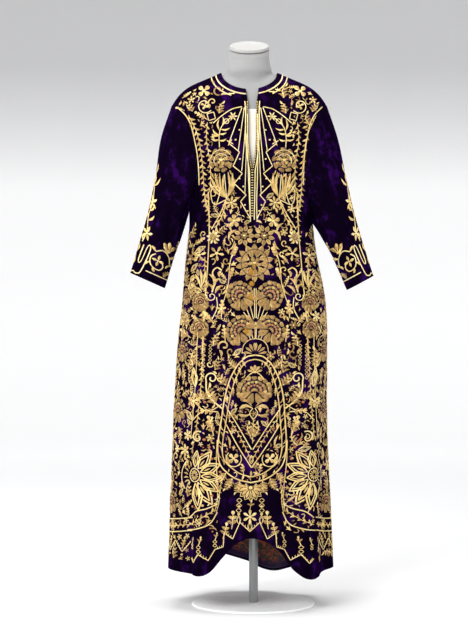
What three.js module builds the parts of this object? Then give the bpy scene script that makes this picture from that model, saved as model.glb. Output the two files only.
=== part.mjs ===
// A long velvet bindalli dress on a limbless dress form with a pole and a base plate.
// Millimetres, +Z up. The front faces -Y, and +X is on the right of someone who looks at
// the front. The origin is the centre of the base plate's underside, on the pole's axis.
//
// The body of the dress is one smooth surface. A point of it is named by an angle round the
// body (0 at the centre front, positive towards +X) and a height. Every ring is an ellipse
// with its own front and back depth, the rings close over the shoulders along a ridge, and
// long soft folds are added below the waist. Each cut piece is a grid on that surface with
// its wall laid inwards, and two pieces that are sewn share the points of their seam.
import * as THREE from 'three';

// ---- Driving dimensions ---------------------------------------------------------------
const WALL = 2;
const SEAM_GAP = 0.3;
const LINING_WALL = 1.2;
const LINING_GAP = 0.4;
const LINING_TOP = 330;
const BRAID_WIDTH = 8;
const BRAID_THICK = 1.2;
const CUFF_FROM = 0.94;
const NECKBAND_WIDTH = 12;
const MITRE_LIMIT = 4;
const FRONT_SPREAD = 0.8;
const BACK_SPREAD = 0.15;

// Rings of the body: height, reach to the left and right of the pole, and depth to the
// front and back. Above the notch of the armholes the reach runs on past the armholes.
const BODY_ROWS = [
  { z: 20, left: 244, right: 219, front: 190, back: 246 },
  { z: 100, left: 242, right: 217, front: 187, back: 238 },
  { z: 300, left: 234, right: 209, front: 172, back: 216 },
  { z: 490, left: 225, right: 204, front: 160, back: 190 },
  { z: 700, left: 214, right: 206, front: 146, back: 160 },
  { z: 850, left: 201, right: 203, front: 131, back: 136 },
  { z: 980, left: 188, right: 176, front: 117, back: 114 },
  { z: 1060, left: 180, right: 167, front: 115, back: 105 },
  { z: 1120, left: 183, right: 170, front: 118, back: 102 },
  { z: 1187, left: 200, right: 180, front: 124, back: 102 },
  { z: 1250, left: 215, right: 192, front: 126, back: 104 },
  { z: 1310, left: 230, right: 206, front: 120, back: 105 },
  { z: 1380, left: 241, right: 217, front: 107, back: 99 },
  { z: 1432, left: 243, right: 219, front: 90, back: 99 },
  { z: 1490, left: 243, right: 219, front: 68, back: 110 },
];

// The top of the shoulders, by distance from the middle of the neck.
const TOP_SHIFT = -12;
const NECK_HALF = 78.3;
const RIDGE_ROWS = [
  { out: 78.3, z: 1487 },
  { out: 112, z: 1473 },
  { out: 166, z: 1449 },
  { out: 194, z: 1427 },
  { out: 217, z: 1396 },
  { out: 235, z: 1366 },
];
const RIDGE_RISE = 16;
const SHOULDER_ROUNDING = 90;
const SHOULDER_OUT = 217;
const NECK_FRONT_Z = 1432;
const NECK_BACK_Z = 1478;

// Slit at the centre front: half its opening by height, closed below its foot.
const CENTRE_X = -4.5;
const SLIT_ROWS = [
  { z: 1204, half: 0 },
  { z: 1240, half: 6 },
  { z: 1290, half: 10.5 },
  { z: 1385, half: 11.5 },
  { z: 1432, half: 18.5 },
];

// Seams between the front and the side pieces, and the armholes above the notch.
const NOTCH_Z = 1187;
const GORE_Z = 1050;
const SEAM_ROWS = [
  { z: 20, left: -187, right: 176 },
  { z: 300, left: -172, right: 168 },
  { z: 739, left: -129, right: 143 },
  { z: 1050, left: -130, right: 141 },
  { z: 1131, left: -144, right: 141 },
  { z: 1187, left: -158, right: 144 },
];
const ARMHOLE_ROWS = [
  { z: 1187, frontLeft: -158, frontRight: 144, backLeft: -158, backRight: 144 },
  { z: 1224, frontLeft: -160, frontRight: 145, backLeft: -164, backRight: 149 },
  { z: 1282, frontLeft: -168, frontRight: 151, backLeft: -175, backRight: 157 },
  { z: 1352, frontLeft: -188, frontRight: 168, backLeft: -196, backRight: 174 },
  { z: 1396, frontLeft: -229, frontRight: 205, backLeft: -229, backRight: 205 },
];
const UNDERARM = {
  left: { bottom: 1100, point: 985 },
  right: { bottom: 1064, point: 985 },
};

// Hem height by angle round the skirt, in degrees from the centre front.
const HEM_ROWS = [
  { at: -180, z: 88 },
  { at: -170, z: 101 },
  { at: -155, z: 118 },
  { at: -130, z: 118 },
  { at: -90, z: 112 },
  { at: -60, z: 106 },
  { at: -42, z: 100 },
  { at: -30, z: 108 },
  { at: -20, z: 150 },
  { at: -10, z: 190 },
  { at: 0, z: 207 },
  { at: 12, z: 196 },
  { at: 24, z: 160 },
  { at: 32, z: 118 },
  { at: 42, z: 92 },
  { at: 58, z: 92 },
  { at: 75, z: 106 },
  { at: 110, z: 104 },
  { at: 140, z: 84 },
  { at: 160, z: 62 },
  { at: 170, z: 66 },
  { at: 180, z: 88 },
];

// Long soft folds: place and half-width in degrees, how far out the cloth stands at the
// hem (a trough is negative), and the height where the fold starts.
const FOLDS = [
  { at: -49, wide: 7, out: -17, from: 560 },
  { at: -23, wide: 8, out: -9, from: 700 },
  { at: -36, wide: 8, out: 6, from: 640 },
  { at: 2, wide: 12, out: 5, from: 760 },
  { at: 27, wide: 8, out: -10, from: 720 },
  { at: 44, wide: 9, out: 8, from: 640 },
  { at: 66, wide: 8, out: -13, from: 620 },
  { at: 86, wide: 10, out: 7, from: 760 },
  { at: 108, wide: 10, out: -11, from: 820 },
  { at: 130, wide: 9, out: 9, from: 700 },
  { at: 150, wide: 8, out: -15, from: 900 },
  { at: 170, wide: 9, out: 8, from: 860 },
  { at: -70, wide: 9, out: 6, from: 700 },
  { at: -92, wide: 10, out: -9, from: 800 },
  { at: -116, wide: 10, out: 9, from: 760 },
  { at: -138, wide: 8, out: -14, from: 900 },
  { at: -160, wide: 9, out: 7, from: 820 },
];
const FOLD_FULL_Z = 120;

// Sleeves: the outer edge, the inner edge and half the depth, from the armhole to the wrist.
const SLEEVE_ROWS = {
  left: [
    { at: 0, outerX: -229, outerZ: 1396, innerX: -179, innerZ: 1100, deep: 80 },
    { at: 0.2, outerX: -260, outerZ: 1300, innerX: -191, innerZ: 1058, deep: 77 },
    { at: 0.4, outerX: -274, outerZ: 1200, innerX: -205, innerZ: 1015, deep: 70 },
    { at: 0.6, outerX: -294, outerZ: 1100, innerX: -220, innerZ: 972, deep: 61 },
    { at: 0.8, outerX: -321, outerZ: 1005, innerX: -234, innerZ: 928, deep: 52 },
    { at: 1, outerX: -345, outerZ: 928, innerX: -248, innerZ: 885, deep: 46 },
  ],
  right: [
    { at: 0, outerX: 205, outerZ: 1396, innerX: 166, innerZ: 1064, deep: 80 },
    { at: 0.2, outerX: 237, outerZ: 1300, innerX: 182, innerZ: 1040, deep: 77 },
    { at: 0.4, outerX: 258, outerZ: 1200, innerX: 199, innerZ: 1010, deep: 70 },
    { at: 0.6, outerX: 280, outerZ: 1100, innerX: 220, innerZ: 970, deep: 61 },
    { at: 0.8, outerX: 307, outerZ: 1005, innerX: 241, innerZ: 925, deep: 52 },
    { at: 1, outerX: 336, outerZ: 920, innerX: 261, innerZ: 880, deep: 46 },
  ],
};
const SLEEVE_BLEND = 0.5;

// Raised flowers on the front: centre, half sizes, tilt in degrees and number of petals.
const FLOWER_PLATES = [
  { name: 'motif_rose_left', x: -91, z: 1243, wide: 29, high: 29, tilt: 0, petals: 8 },
  { name: 'motif_rose_right', x: 84, z: 1243, wide: 29, high: 29, tilt: 0, petals: 8 },
  { name: 'motif_star_left', x: -27, z: 1035, wide: 26, high: 26, tilt: 0, petals: 9 },
  { name: 'motif_star_right', x: 32, z: 1037, wide: 26, high: 26, tilt: 0, petals: 9 },
  { name: 'motif_double_flower', x: 3, z: 957, wide: 53, high: 50, tilt: 0, petals: 12 },
  { name: 'motif_peony_upper_left', x: -45, z: 864, wide: 41, high: 40, tilt: 12, petals: 7 },
  { name: 'motif_peony_upper_right', x: 49, z: 864, wide: 41, high: 40, tilt: -12, petals: 7 },
  { name: 'motif_peony_lower_left', x: -42, z: 769, wide: 42, high: 34, tilt: 25, petals: 7 },
  { name: 'motif_peony_lower_right', x: 54, z: 769, wide: 42, high: 34, tilt: -25, petals: 7 },
  { name: 'motif_peony_centre', x: 0, z: 600, wide: 46, high: 35, tilt: 0, petals: 8 },
];
const PLATE_LIFT = 1.4;
const PLATE_THICK = 1.3;
const PLATE_SCALLOP = 0.16;
const MEDALLION = { x: -3, z: 441, wide: 101, up: 250, down: 92, band: 9, steps: 36 };

// The form: rings of the torso and neck, its cap, pole and base plate.
const FORM_CLEAR = 8;
const COVER_TOP = 1376;
const FORM_FOOT = 800;
const FORM_SIDES = 28;
const TORSO_ROWS = [
  { z: 800, half: 158, front: 92, back: 98 },
  { z: 880, half: 163, front: 100, back: 110 },
  { z: 960, half: 150, front: 96, back: 98 },
  { z: 1060, half: 132, front: 92, back: 86 },
  { z: 1150, half: 143, front: 100, back: 88 },
  { z: 1250, half: 164, front: 114, back: 92 },
  { z: 1320, half: 184, front: 107, back: 92 },
  { z: 1376, half: 199, front: 97, back: 88 },
  { z: 1432, half: 206, front: 80, back: 86 },
  { z: 1490, half: 206, front: 60, back: 96 },
];
const NECK_ROWS = [
  { z: 1376, radius: 30 },
  { z: 1440, radius: 56 },
  { z: 1470, radius: 60 },
  { z: 1487, radius: 64 },
  { z: 1508, radius: 59.5 },
  { z: 1529, radius: 56 },
  { z: 1553, radius: 55.5 },
];
const BUST_HEIGHTS = [1376.3, 1400, 1418, 1434, 1448, 1460, 1470, 1479, 1487, 1497, 1512];
const COVER_HEIGHTS = [800, 850, 905, 960, 1060, 1150, 1210, 1270, 1325, 1376];
const CAP = { z: 1553, tilt: 22, radius: 55.5, thick: 11, rim: 3, step: 2.5, inset: 6 };
const POLE_RADIUS = 12.5;
const BASE = { radius: 172, thick: 6, rim: 2 };

// ---- Numbers of grid steps -----------------------------------------------------------
const SKIRT_STEPS = 10;
const GUSSET_STEPS = 2;
const YOKE_STEPS = 9;
const SIDE_STEPS = 8;
const NECK_STEPS = 4;
const SHOULDER_STEPS = 6;
const BACK_NECK_STEPS = 6;
const SLEEVE_STEPS = 8;

const FRONT_STEPS = NECK_STEPS + SHOULDER_STEPS;
const BACK_STEPS = 2 * SHOULDER_STEPS + BACK_NECK_STEPS;

// ---- Small helpers -------------------------------------------------------------------
const mix = (a, b, t) => a + (b - a) * t;
const radians = (degrees) => (degrees * Math.PI) / 180;
const clamp = (value, low, high) => Math.min(high, Math.max(low, value));
const range = (count) => Array.from({ length: count + 1 }, (_, i) => i);

function smooth(t) {
  const u = clamp(t, 0, 1);
  return u * u * (3 - 2 * u);
}

// A column of a table at any value of its key: a cubic through the rows.
function column(rows, key, name, at) {
  let i = 0;
  while (i < rows.length - 2 && at > rows[i + 1][key]) i += 1;
  const slope = (j) => {
    const before = rows[Math.max(j - 1, 0)];
    const after = rows[Math.min(j + 1, rows.length - 1)];
    return (after[name] - before[name]) / (after[key] - before[key]);
  };
  const a = rows[i];
  const b = rows[i + 1];
  const span = b[key] - a[key];
  const u = clamp((at - a[key]) / span, 0, 1);
  const rise = (1 - u) * (1 - u) * (a[name] * (1 + 2 * u) + slope(i) * span * u);
  return rise + u * u * (b[name] * (3 - 2 * u) - slope(i + 1) * span * (1 - u));
}

// ---- The body's surface --------------------------------------------------------------
function ring(z) {
  const left = column(BODY_ROWS, 'z', 'left', z);
  const right = column(BODY_ROWS, 'z', 'right', z);
  return {
    centre: (right - left) / 2,
    half: (right + left) / 2,
    front: column(BODY_ROWS, 'z', 'front', z),
    back: column(BODY_ROWS, 'z', 'back', z),
  };
}

function ridge(out) {
  if (out < NECK_HALF) return RIDGE_ROWS[0].z + RIDGE_RISE * (1 - (out / NECK_HALF) ** 2);
  return column(RIDGE_ROWS, 'out', 'z', out);
}

// The square of the share of its depth that the cloth has below the ridge.
function roundingSquared(below) {
  const left = Math.max(1 - below / SHOULDER_ROUNDING, 0);
  return 1 - left * left;
}

function foldOut(theta, z) {
  const degrees = (theta * 180) / Math.PI;
  let out = 0;
  for (const fold of FOLDS) {
    const away = ((degrees - fold.at + 540) % 360) - 180;
    const grown = smooth((fold.from - z) / (fold.from - FOLD_FULL_Z));
    out += fold.out * grown * Math.exp(-((away / fold.wide) ** 2));
  }
  return out;
}

function bodyPoint(theta, z) {
  const r = ring(z);
  const depth = Math.cos(theta) >= 0 ? r.front : r.back;
  const x = r.centre + r.half * Math.sin(theta);
  const below = ridge(Math.abs(x - TOP_SHIFT)) - z;
  const y = -depth * Math.cos(theta) * Math.sqrt(Math.max(roundingSquared(below), 0));
  const across = new THREE.Vector3(Math.sin(theta) / r.half, -Math.cos(theta) / depth, 0);
  return new THREE.Vector3(x, y, z).addScaledVector(across.normalize(), foldOut(theta, z));
}

// The outward normal: from the grid's own directions on the skirt, and above it from the
// slope of the squared depth, which stays even over the ridge.
function bodyNormal(theta, z) {
  const step = 0.01;
  if (z < NOTCH_Z) {
    const round = bodyPoint(theta + step, z).sub(bodyPoint(theta - step, z));
    const rise = bodyPoint(theta, z + 1).sub(bodyPoint(theta, z - 1));
    return round.cross(rise).normalize();
  }
  const point = bodyPoint(theta, z);
  const side = Math.cos(theta) >= 0 ? 'front' : 'back';
  const squaredDepth = (x, height) => {
    const r = ring(height);
    const share = 1 - ((x - r.centre) / r.half) ** 2;
    return r[side] ** 2 * share * roundingSquared(ridge(Math.abs(x - TOP_SHIFT)) - height);
  };
  const { x, y } = point;
  const byX = (squaredDepth(x + step, z) - squaredDepth(x - step, z)) / (2 * step);
  const byZ = (squaredDepth(x, z + step) - squaredDepth(x, z - step)) / (2 * step);
  return new THREE.Vector3(-byX, 2 * y, -byZ).normalize();
}

function thetaAt(x, z, back = false) {
  const r = ring(z);
  const theta = Math.asin(clamp((x - r.centre) / r.half, -1, 1));
  return back ? Math.PI - theta : theta;
}

const hemZ = (theta) => {
  const degrees = (theta * 180) / Math.PI;
  return column(HEM_ROWS, 'at', 'z', ((degrees + 540) % 360) - 180);
};
const slitEdge = (sign, z) => CENTRE_X + sign * Math.max(column(SLIT_ROWS, 'z', 'half', z), 0);
const seamTheta = (side, z) => thetaAt(column(SEAM_ROWS, 'z', side, z), z);

// A point of the neck's edge, or of a line outside it: plan angle from the centre front.
function neckEdge(alpha, extra) {
  const out = NECK_HALF + extra;
  const back = Math.cos(alpha) < 0;
  const lowest = (back ? NECK_BACK_Z : NECK_FRONT_Z) - extra;
  const x = TOP_SHIFT + out * Math.sin(alpha);
  const z = ridge(out) - (ridge(out) - lowest) * Math.abs(Math.cos(alpha));
  return { x, z, back };
}

function slitAlpha(sign, extra) {
  const x = slitEdge(sign, NECK_FRONT_Z - extra);
  return Math.asin((x - TOP_SHIFT) / (NECK_HALF + extra));
}

// ---- Solids from grids ---------------------------------------------------------------
function closedMesh(name, vertices, triangles, material) {
  let volume = 0;
  for (const [a, b, c] of triangles) {
    volume += vertices[a].dot(vertices[b].clone().cross(vertices[c]));
  }
  const faces = volume < 0 ? triangles.map(([a, b, c]) => [a, c, b]) : triangles;
  const geometry = new THREE.BufferGeometry();
  const flat = vertices.flatMap((v) => [v.x, v.y, v.z]);
  geometry.setAttribute('position', new THREE.Float32BufferAttribute(flat, 3));
  geometry.setIndex(faces.flat());
  geometry.computeVertexNormals();
  const mesh = new THREE.Mesh(geometry, material);
  mesh.name = name;
  return mesh;
}

// A wall between two grids of equal size. A wrapped grid is a tube, closed on itself.
function wallBetween(name, outer, inner, material, wrapped = false) {
  const rows = outer.length;
  const columns = outer[0].length;
  const size = rows * columns;
  const id = (layer, i, j) => layer * size + i * columns + (j % columns);
  const triangles = [];
  const quad = (a, b, c, d) => triangles.push([a, b, c], [a, c, d]);
  const across = wrapped ? columns : columns - 1;
  for (let i = 0; i < rows - 1; i += 1) {
    for (let j = 0; j < across; j += 1) {
      quad(id(0, i, j), id(0, i, j + 1), id(0, i + 1, j + 1), id(0, i + 1, j));
      quad(id(1, i, j), id(1, i + 1, j), id(1, i + 1, j + 1), id(1, i, j + 1));
    }
  }
  for (let j = 0; j < across; j += 1) {
    const top = rows - 1;
    quad(id(0, 0, j), id(1, 0, j), id(1, 0, j + 1), id(0, 0, j + 1));
    quad(id(0, top, j), id(0, top, j + 1), id(1, top, j + 1), id(1, top, j));
  }
  if (!wrapped) {
    const end = columns - 1;
    for (let i = 0; i < rows - 1; i += 1) {
      quad(id(0, i, 0), id(0, i + 1, 0), id(1, i + 1, 0), id(1, i, 0));
      quad(id(0, i, end), id(1, i, end), id(1, i + 1, end), id(0, i + 1, end));
    }
  }
  return closedMesh(name, [...outer.flat(), ...inner.flat()], triangles, material);
}

// A closed body through rings, each joined to the next, with a centre point at both ends.
function ringStack(name, rings, material) {
  const sides = rings[0].length;
  const middle = (points) => {
    const sum = new THREE.Vector3();
    points.forEach((p) => sum.add(p));
    return sum.divideScalar(points.length);
  };
  const vertices = rings.flat();
  const first = vertices.length;
  vertices.push(middle(rings[0]), middle(rings[rings.length - 1]));
  const triangles = [];
  const id = (i, j) => i * sides + (j % sides);
  for (let j = 0; j < sides; j += 1) {
    for (let i = 0; i < rings.length - 1; i += 1) {
      triangles.push([id(i, j), id(i, j + 1), id(i + 1, j + 1)]);
      triangles.push([id(i, j), id(i + 1, j + 1), id(i + 1, j)]);
    }
    triangles.push([first, id(0, j + 1), id(0, j)]);
    triangles.push([first + 1, id(rings.length - 1, j), id(rings.length - 1, j + 1)]);
  }
  return closedMesh(name, vertices, triangles, material);
}

// A grid of places on the body, each with its point, its normal and the vector through
// the wall. Rows run upwards and columns run across.
function bodyGrid(rows, columns, place) {
  return range(rows).map((i) =>
    range(columns).map((j) => {
      const { theta, z } = place(j / columns, i, j);
      const normal = bodyNormal(theta, z);
      const through = normal.clone().multiplyScalar(-WALL);
      return { point: bodyPoint(theta, z), normal, through, theta, z };
    }),
  );
}

// Draws a grid's edge rows and columns in by half a seam gap.
function withSeamGap(grid, edges = { bottom: true, top: true, start: true, end: true }) {
  const rows = grid.length - 1;
  const columns = grid[0].length - 1;
  const moved = grid.map((row) => row.map((cell) => cell.point.clone()));
  const pull = (i, j, k, l) => {
    const towards = grid[k][l].point.clone().sub(grid[i][j].point).normalize();
    moved[i][j].addScaledVector(towards, SEAM_GAP / 2);
  };
  range(columns).forEach((j) => {
    if (edges.bottom) pull(0, j, 1, j);
    if (edges.top) pull(rows, j, rows - 1, j);
  });
  range(rows).forEach((i) => {
    if (edges.start) pull(i, 0, i, 1);
    if (edges.end) pull(i, columns, i, columns - 1);
  });
  return moved;
}

function panelMesh(name, grid, material, edges) {
  const outer = withSeamGap(grid, edges);
  const inner = outer.map((row, i) => row.map((p, j) => p.clone().add(grid[i][j].through)));
  return wallBetween(name, outer, inner, material);
}

// ---- Cut pieces of the body ----------------------------------------------------------
// The rows of every body panel: the skirt up to the gore's top, the strip beside the
// gusset, then the yoke, whose rows gather towards the shoulder seam.
const PANEL_ROWS = SKIRT_STEPS + GUSSET_STEPS + YOKE_STEPS;

function yokeShare(i) {
  const left = 1 - (i - SKIRT_STEPS - GUSSET_STEPS) / YOKE_STEPS;
  return 1 - left * left;
}

function lowerHeight(i, theta) {
  if (i <= SKIRT_STEPS) return mix(hemZ(theta), GORE_Z, i / SKIRT_STEPS);
  return mix(GORE_Z, NOTCH_Z, (i - SKIRT_STEPS) / GUSSET_STEPS);
}

// Columns are even at the hem and spread towards the shoulders, where those that end on the
// neck come in from the side. The bend is the column's share at the neck point.
function spreadShare(s, bend, spread, i) {
  const grown = Math.min(i / (SKIRT_STEPS + GUSSET_STEPS), 1) ** 2;
  const moved = s < bend ? (spread * s) / bend : mix(spread, 1, (s - bend) / (1 - bend));
  return mix(s, moved, grown);
}

function spreadBoth(s, bend, spread, i) {
  if (s > 1 - bend) return 1 - spreadBoth(1 - s, bend, spread, i);
  const grown = Math.min(i / (SKIRT_STEPS + GUSSET_STEPS), 1) ** 2;
  const inner = mix(spread, 0.5, (s - bend) / (0.5 - bend));
  return mix(s, s < bend ? (spread * s) / bend : inner, grown);
}

// A patch in the plane of width and height, filled in between its four edges.
function filledPatch(bottom, top, start, end) {
  const corners = { a: bottom(0), b: bottom(1), c: top(0), d: top(1) };
  const value = (s, t, key) =>
    mix(bottom(s)[key], top(s)[key], t) +
    mix(start(t)[key], end(t)[key], s) -
    mix(mix(corners.a[key], corners.b[key], s), mix(corners.c[key], corners.d[key], s), t);
  return (s, t) => ({ x: value(s, t, 'x'), z: value(s, t, 'z') });
}

function notchPlace(theta) {
  const r = ring(NOTCH_Z);
  return { x: r.centre + r.half * Math.sin(theta), z: NOTCH_Z };
}

// A place in the rows below the notch, at a share of the way across a panel.
function lowerPlace(acrossTheta, share, i) {
  const rough = lowerHeight(i, acrossTheta(share, GORE_Z));
  const z = lowerHeight(i, acrossTheta(share, rough));
  return { theta: acrossTheta(share, z), z };
}

function armhole(side, face, t) {
  const z = mix(NOTCH_Z, ridge(SHOULDER_OUT), t);
  const name = face + (side === 'left' ? 'Left' : 'Right');
  return { x: column(ARMHOLE_ROWS, 'z', name, z), z };
}

function shoulderLine(sign, share) {
  const out = mix(NECK_HALF + NECKBAND_WIDTH, SHOULDER_OUT, share);
  return { x: TOP_SHIFT + sign * out, z: ridge(out) };
}

function frontGrid(side) {
  const sign = side === 'left' ? -1 : 1;
  const innerTheta = (z) => thetaAt(slitEdge(sign, z), z);
  const acrossTheta = (s, z) => mix(innerTheta(z), seamTheta(side, z), s);
  const neckShare = NECK_STEPS / FRONT_STEPS;
  const slitTop = neckEdge(slitAlpha(sign, NECKBAND_WIDTH), NECKBAND_WIDTH);
  const top = (s) => {
    if (s > neckShare) return shoulderLine(sign, (s - neckShare) / (1 - neckShare));
    const alpha = mix(slitAlpha(sign, NECKBAND_WIDTH), (sign * Math.PI) / 2, s / neckShare);
    return neckEdge(alpha, NECKBAND_WIDTH);
  };
  const spread = (s, i) => spreadShare(s, neckShare, FRONT_SPREAD, i);
  const bottom = (s) => notchPlace(acrossTheta(spread(s, PANEL_ROWS), NOTCH_Z));
  const start = (t) => {
    const z = mix(NOTCH_Z, slitTop.z, t);
    return { x: slitEdge(sign, z), z };
  };
  const patch = filledPatch(bottom, top, start, (t) => armhole(side, 'front', t));
  return bodyGrid(PANEL_ROWS, FRONT_STEPS, (s, i) => {
    if (i <= SKIRT_STEPS + GUSSET_STEPS) return lowerPlace(acrossTheta, spread(s, i), i);
    const { x, z } = patch(s, yokeShare(i));
    return { theta: thetaAt(x, z), z };
  });
}

function backGrid() {
  const share = SHOULDER_STEPS / BACK_STEPS;
  const acrossTheta = (s, z) =>
    mix(-Math.PI - seamTheta('left', z), -Math.PI - seamTheta('right', z), s);
  const top = (s) => {
    if (s < share) return shoulderLine(-1, 1 - s / share);
    if (s > 1 - share) return shoulderLine(1, (s - 1 + share) / share);
    const alpha = mix(-Math.PI / 2, (-3 * Math.PI) / 2, (s - share) / (1 - 2 * share));
    return neckEdge(alpha, NECKBAND_WIDTH);
  };
  const spread = (s, i) => spreadBoth(s, share, BACK_SPREAD, i);
  const bottom = (s) => notchPlace(acrossTheta(spread(s, PANEL_ROWS), NOTCH_Z));
  const patch = filledPatch(
    bottom,
    top,
    (t) => armhole('left', 'back', t),
    (t) => armhole('right', 'back', t),
  );
  return bodyGrid(PANEL_ROWS, BACK_STEPS, (s, i) => {
    if (i <= SKIRT_STEPS + GUSSET_STEPS) return lowerPlace(acrossTheta, spread(s, i), i);
    const { x, z } = patch(s, yokeShare(i));
    return { theta: thetaAt(x, z, true), z };
  });
}

function sideTheta(side, s, z) {
  const seam = seamTheta(side, z);
  return mix(seam, Math.sign(seam) * Math.PI - seam, s);
}

const gorePoint = (side, s) => mix(GORE_Z, UNDERARM[side].point, Math.sin(Math.PI * s));
const armpit = (side, s) => mix(NOTCH_Z, UNDERARM[side].bottom, Math.sin(Math.PI * s));

function gussetGrid(side) {
  return bodyGrid(GUSSET_STEPS, SIDE_STEPS, (s, i) => {
    const z = mix(gorePoint(side, s), armpit(side, s), i / GUSSET_STEPS);
    return { theta: sideTheta(side, s, z), z };
  });
}

function goreGrid(side) {
  return bodyGrid(SKIRT_STEPS, SIDE_STEPS, (s, i) => {
    const rough = mix(hemZ(sideTheta(side, s, GORE_Z)), gorePoint(side, s), i / SKIRT_STEPS);
    const z = mix(hemZ(sideTheta(side, s, rough)), gorePoint(side, s), i / SKIRT_STEPS);
    return { theta: sideTheta(side, s, z), z };
  });
}

// ---- Neckband, braids and lining -----------------------------------------------------
function neckbandGrid() {
  const columns = 2 * NECK_STEPS + BACK_NECK_STEPS;
  const alphaAt = (j, extra) => {
    const half = Math.PI / 2;
    if (j <= NECK_STEPS) return mix(slitAlpha(-1, extra), -half, j / NECK_STEPS);
    const last = j - NECK_STEPS - BACK_NECK_STEPS;
    if (last <= 0) return -half - (Math.PI * (j - NECK_STEPS)) / BACK_NECK_STEPS;
    return mix(-3 * half, slitAlpha(1, extra) - 2 * Math.PI, last / NECK_STEPS);
  };
  return bodyGrid(2, columns, (s, i, j) => {
    const extra = NECKBAND_WIDTH * (1 - i / 2);
    const { x, z, back } = neckEdge(alphaAt(j, extra), extra);
    return { theta: thetaAt(x, z, back), z };
  });
}

function offsetGrid(grid, out) {
  return grid.map((row) => row.map((cell) => cell.point.clone().addScaledVector(cell.normal, out)));
}

function braidMesh(side, material) {
  const sign = side === 'left' ? -1 : 1;
  const top = NECK_FRONT_Z - NECKBAND_WIDTH - 3;
  const grid = bodyGrid(7, 1, (s, i) => {
    const z = mix(SLIT_ROWS[0].z + 2, top, i / 7);
    const x = slitEdge(sign, z) + sign * (0.6 + BRAID_WIDTH * s);
    return { theta: thetaAt(x, z), z };
  });
  const name = `slit_braid_${side}`;
  const outer = offsetGrid(grid, SEAM_GAP + BRAID_THICK);
  return wallBetween(name, outer, offsetGrid(grid, SEAM_GAP), material);
}

function liningMesh(back, material) {
  const rows = back.filter((row) => row[0].z < LINING_TOP);
  const inset = 1.5;
  const lowered = rows.map((row, i) =>
    row.map((cell) => {
      const z = i === 0 ? cell.z + 8 : cell.z;
      return { ...cell, point: bodyPoint(cell.theta, z), normal: bodyNormal(cell.theta, z) };
    }),
  );
  const trimmed = lowered.map((row) => row.slice(1, -1));
  const deep = WALL + LINING_GAP;
  const outer = offsetGrid(trimmed, -deep);
  const inner = offsetGrid(trimmed, -deep - LINING_WALL * inset);
  return wallBetween('lining_back', outer, inner, material);
}

// ---- Sleeves -------------------------------------------------------------------------
// The armhole's seam, from the shoulder down the front, under the arm and up the back.
function armholeSeam(side, front, gusset, back) {
  const backColumn = side === 'left' ? 0 : BACK_STEPS;
  const yoke = range(YOKE_STEPS).map((k) => PANEL_ROWS - k);
  const down = yoke.map((i) => front[i][FRONT_STEPS]);
  const under = gusset[GUSSET_STEPS].slice(1, -1);
  const up = yoke.reverse().map((i) => back[i][backColumn]);
  return { cells: [...down, ...under, ...up.slice(0, -1)], shoulderTwin: up[up.length - 1] };
}

function seamAngles(cells) {
  const half = YOKE_STEPS + SIDE_STEPS / 2;
  const steps = cells.map((cell, k) => cell.point.distanceTo(cells[(k + 1) % cells.length].point));
  const sum = (from, to) => steps.slice(from, to).reduce((a, b) => a + b, 0);
  const front = sum(0, half);
  const back = sum(half, cells.length);
  return cells.map((_, k) => {
    if (k <= half) return (Math.PI * sum(0, k)) / front;
    return Math.PI + (Math.PI * sum(half, k)) / back;
  });
}

function sleevePoint(side, angle, t) {
  const rows = SLEEVE_ROWS[side];
  const get = (name) => column(rows, 'at', name, t);
  const x = mix(get('innerX'), get('outerX'), (1 + Math.cos(angle)) / 2);
  const z = mix(get('innerZ'), get('outerZ'), (1 + Math.cos(angle)) / 2);
  return new THREE.Vector3(x, -get('deep') * Math.sin(angle), z);
}

// A tube that starts on the armhole's seam and turns into even ovals down the arm.
function sleeveGrid(side, cells, from, to, steps) {
  const angles = seamAngles(cells);
  return range(steps).map((i) => {
    const t = mix(from, to, i / steps);
    const held = 1 - smooth(t / SLEEVE_BLEND);
    return cells.map((cell, k) => {
      const away = cell.point.clone().sub(sleevePoint(side, angles[k], 0));
      return sleevePoint(side, angles[k], t).addScaledVector(away, held);
    });
  });
}

function tubeNormals(points, inwardTo) {
  const rows = points.length - 1;
  return points.map((row, i) =>
    row.map((p, j) => {
      const next = row[(j + 1) % row.length];
      const last = row[(j + row.length - 1) % row.length];
      const along = points[Math.min(i + 1, rows)][j].clone().sub(points[Math.max(i - 1, 0)][j]);
      const normal = next.clone().sub(last).cross(along).normalize();
      const outward = p.clone().sub(inwardTo(i));
      return normal.dot(outward) < 0 ? normal.negate() : normal;
    }),
  );
}

function middleOf(row) {
  return row.reduce((sum, p) => sum.add(p), new THREE.Vector3()).divideScalar(row.length);
}

// The wall's vector where a sleeve meets the body: the line that halves their angle.
function mitre(bodyNormalHere, sleeveNormalHere) {
  const between = bodyNormalHere.clone().add(sleeveNormalHere).normalize().negate();
  const slant = Math.max(-between.dot(bodyNormalHere), 0.01);
  return between.multiplyScalar(Math.min(WALL / slant, MITRE_LIMIT));
}

function tubeMesh(name, points, through, material, startGap, endGap) {
  const outer = points.map((row) => row.map((p) => p.clone()));
  const last = points.length - 1;
  const pull = (i, k, amount) =>
    outer[i].forEach((p, j) => {
      p.addScaledVector(points[k][j].clone().sub(points[i][j]).normalize(), amount);
    });
  pull(0, 1, startGap);
  pull(last, last - 1, endGap);
  const inner = outer.map((row, i) => row.map((p, j) => p.clone().add(through[i][j])));
  return wallBetween(name, outer, inner, material, true);
}

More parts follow.
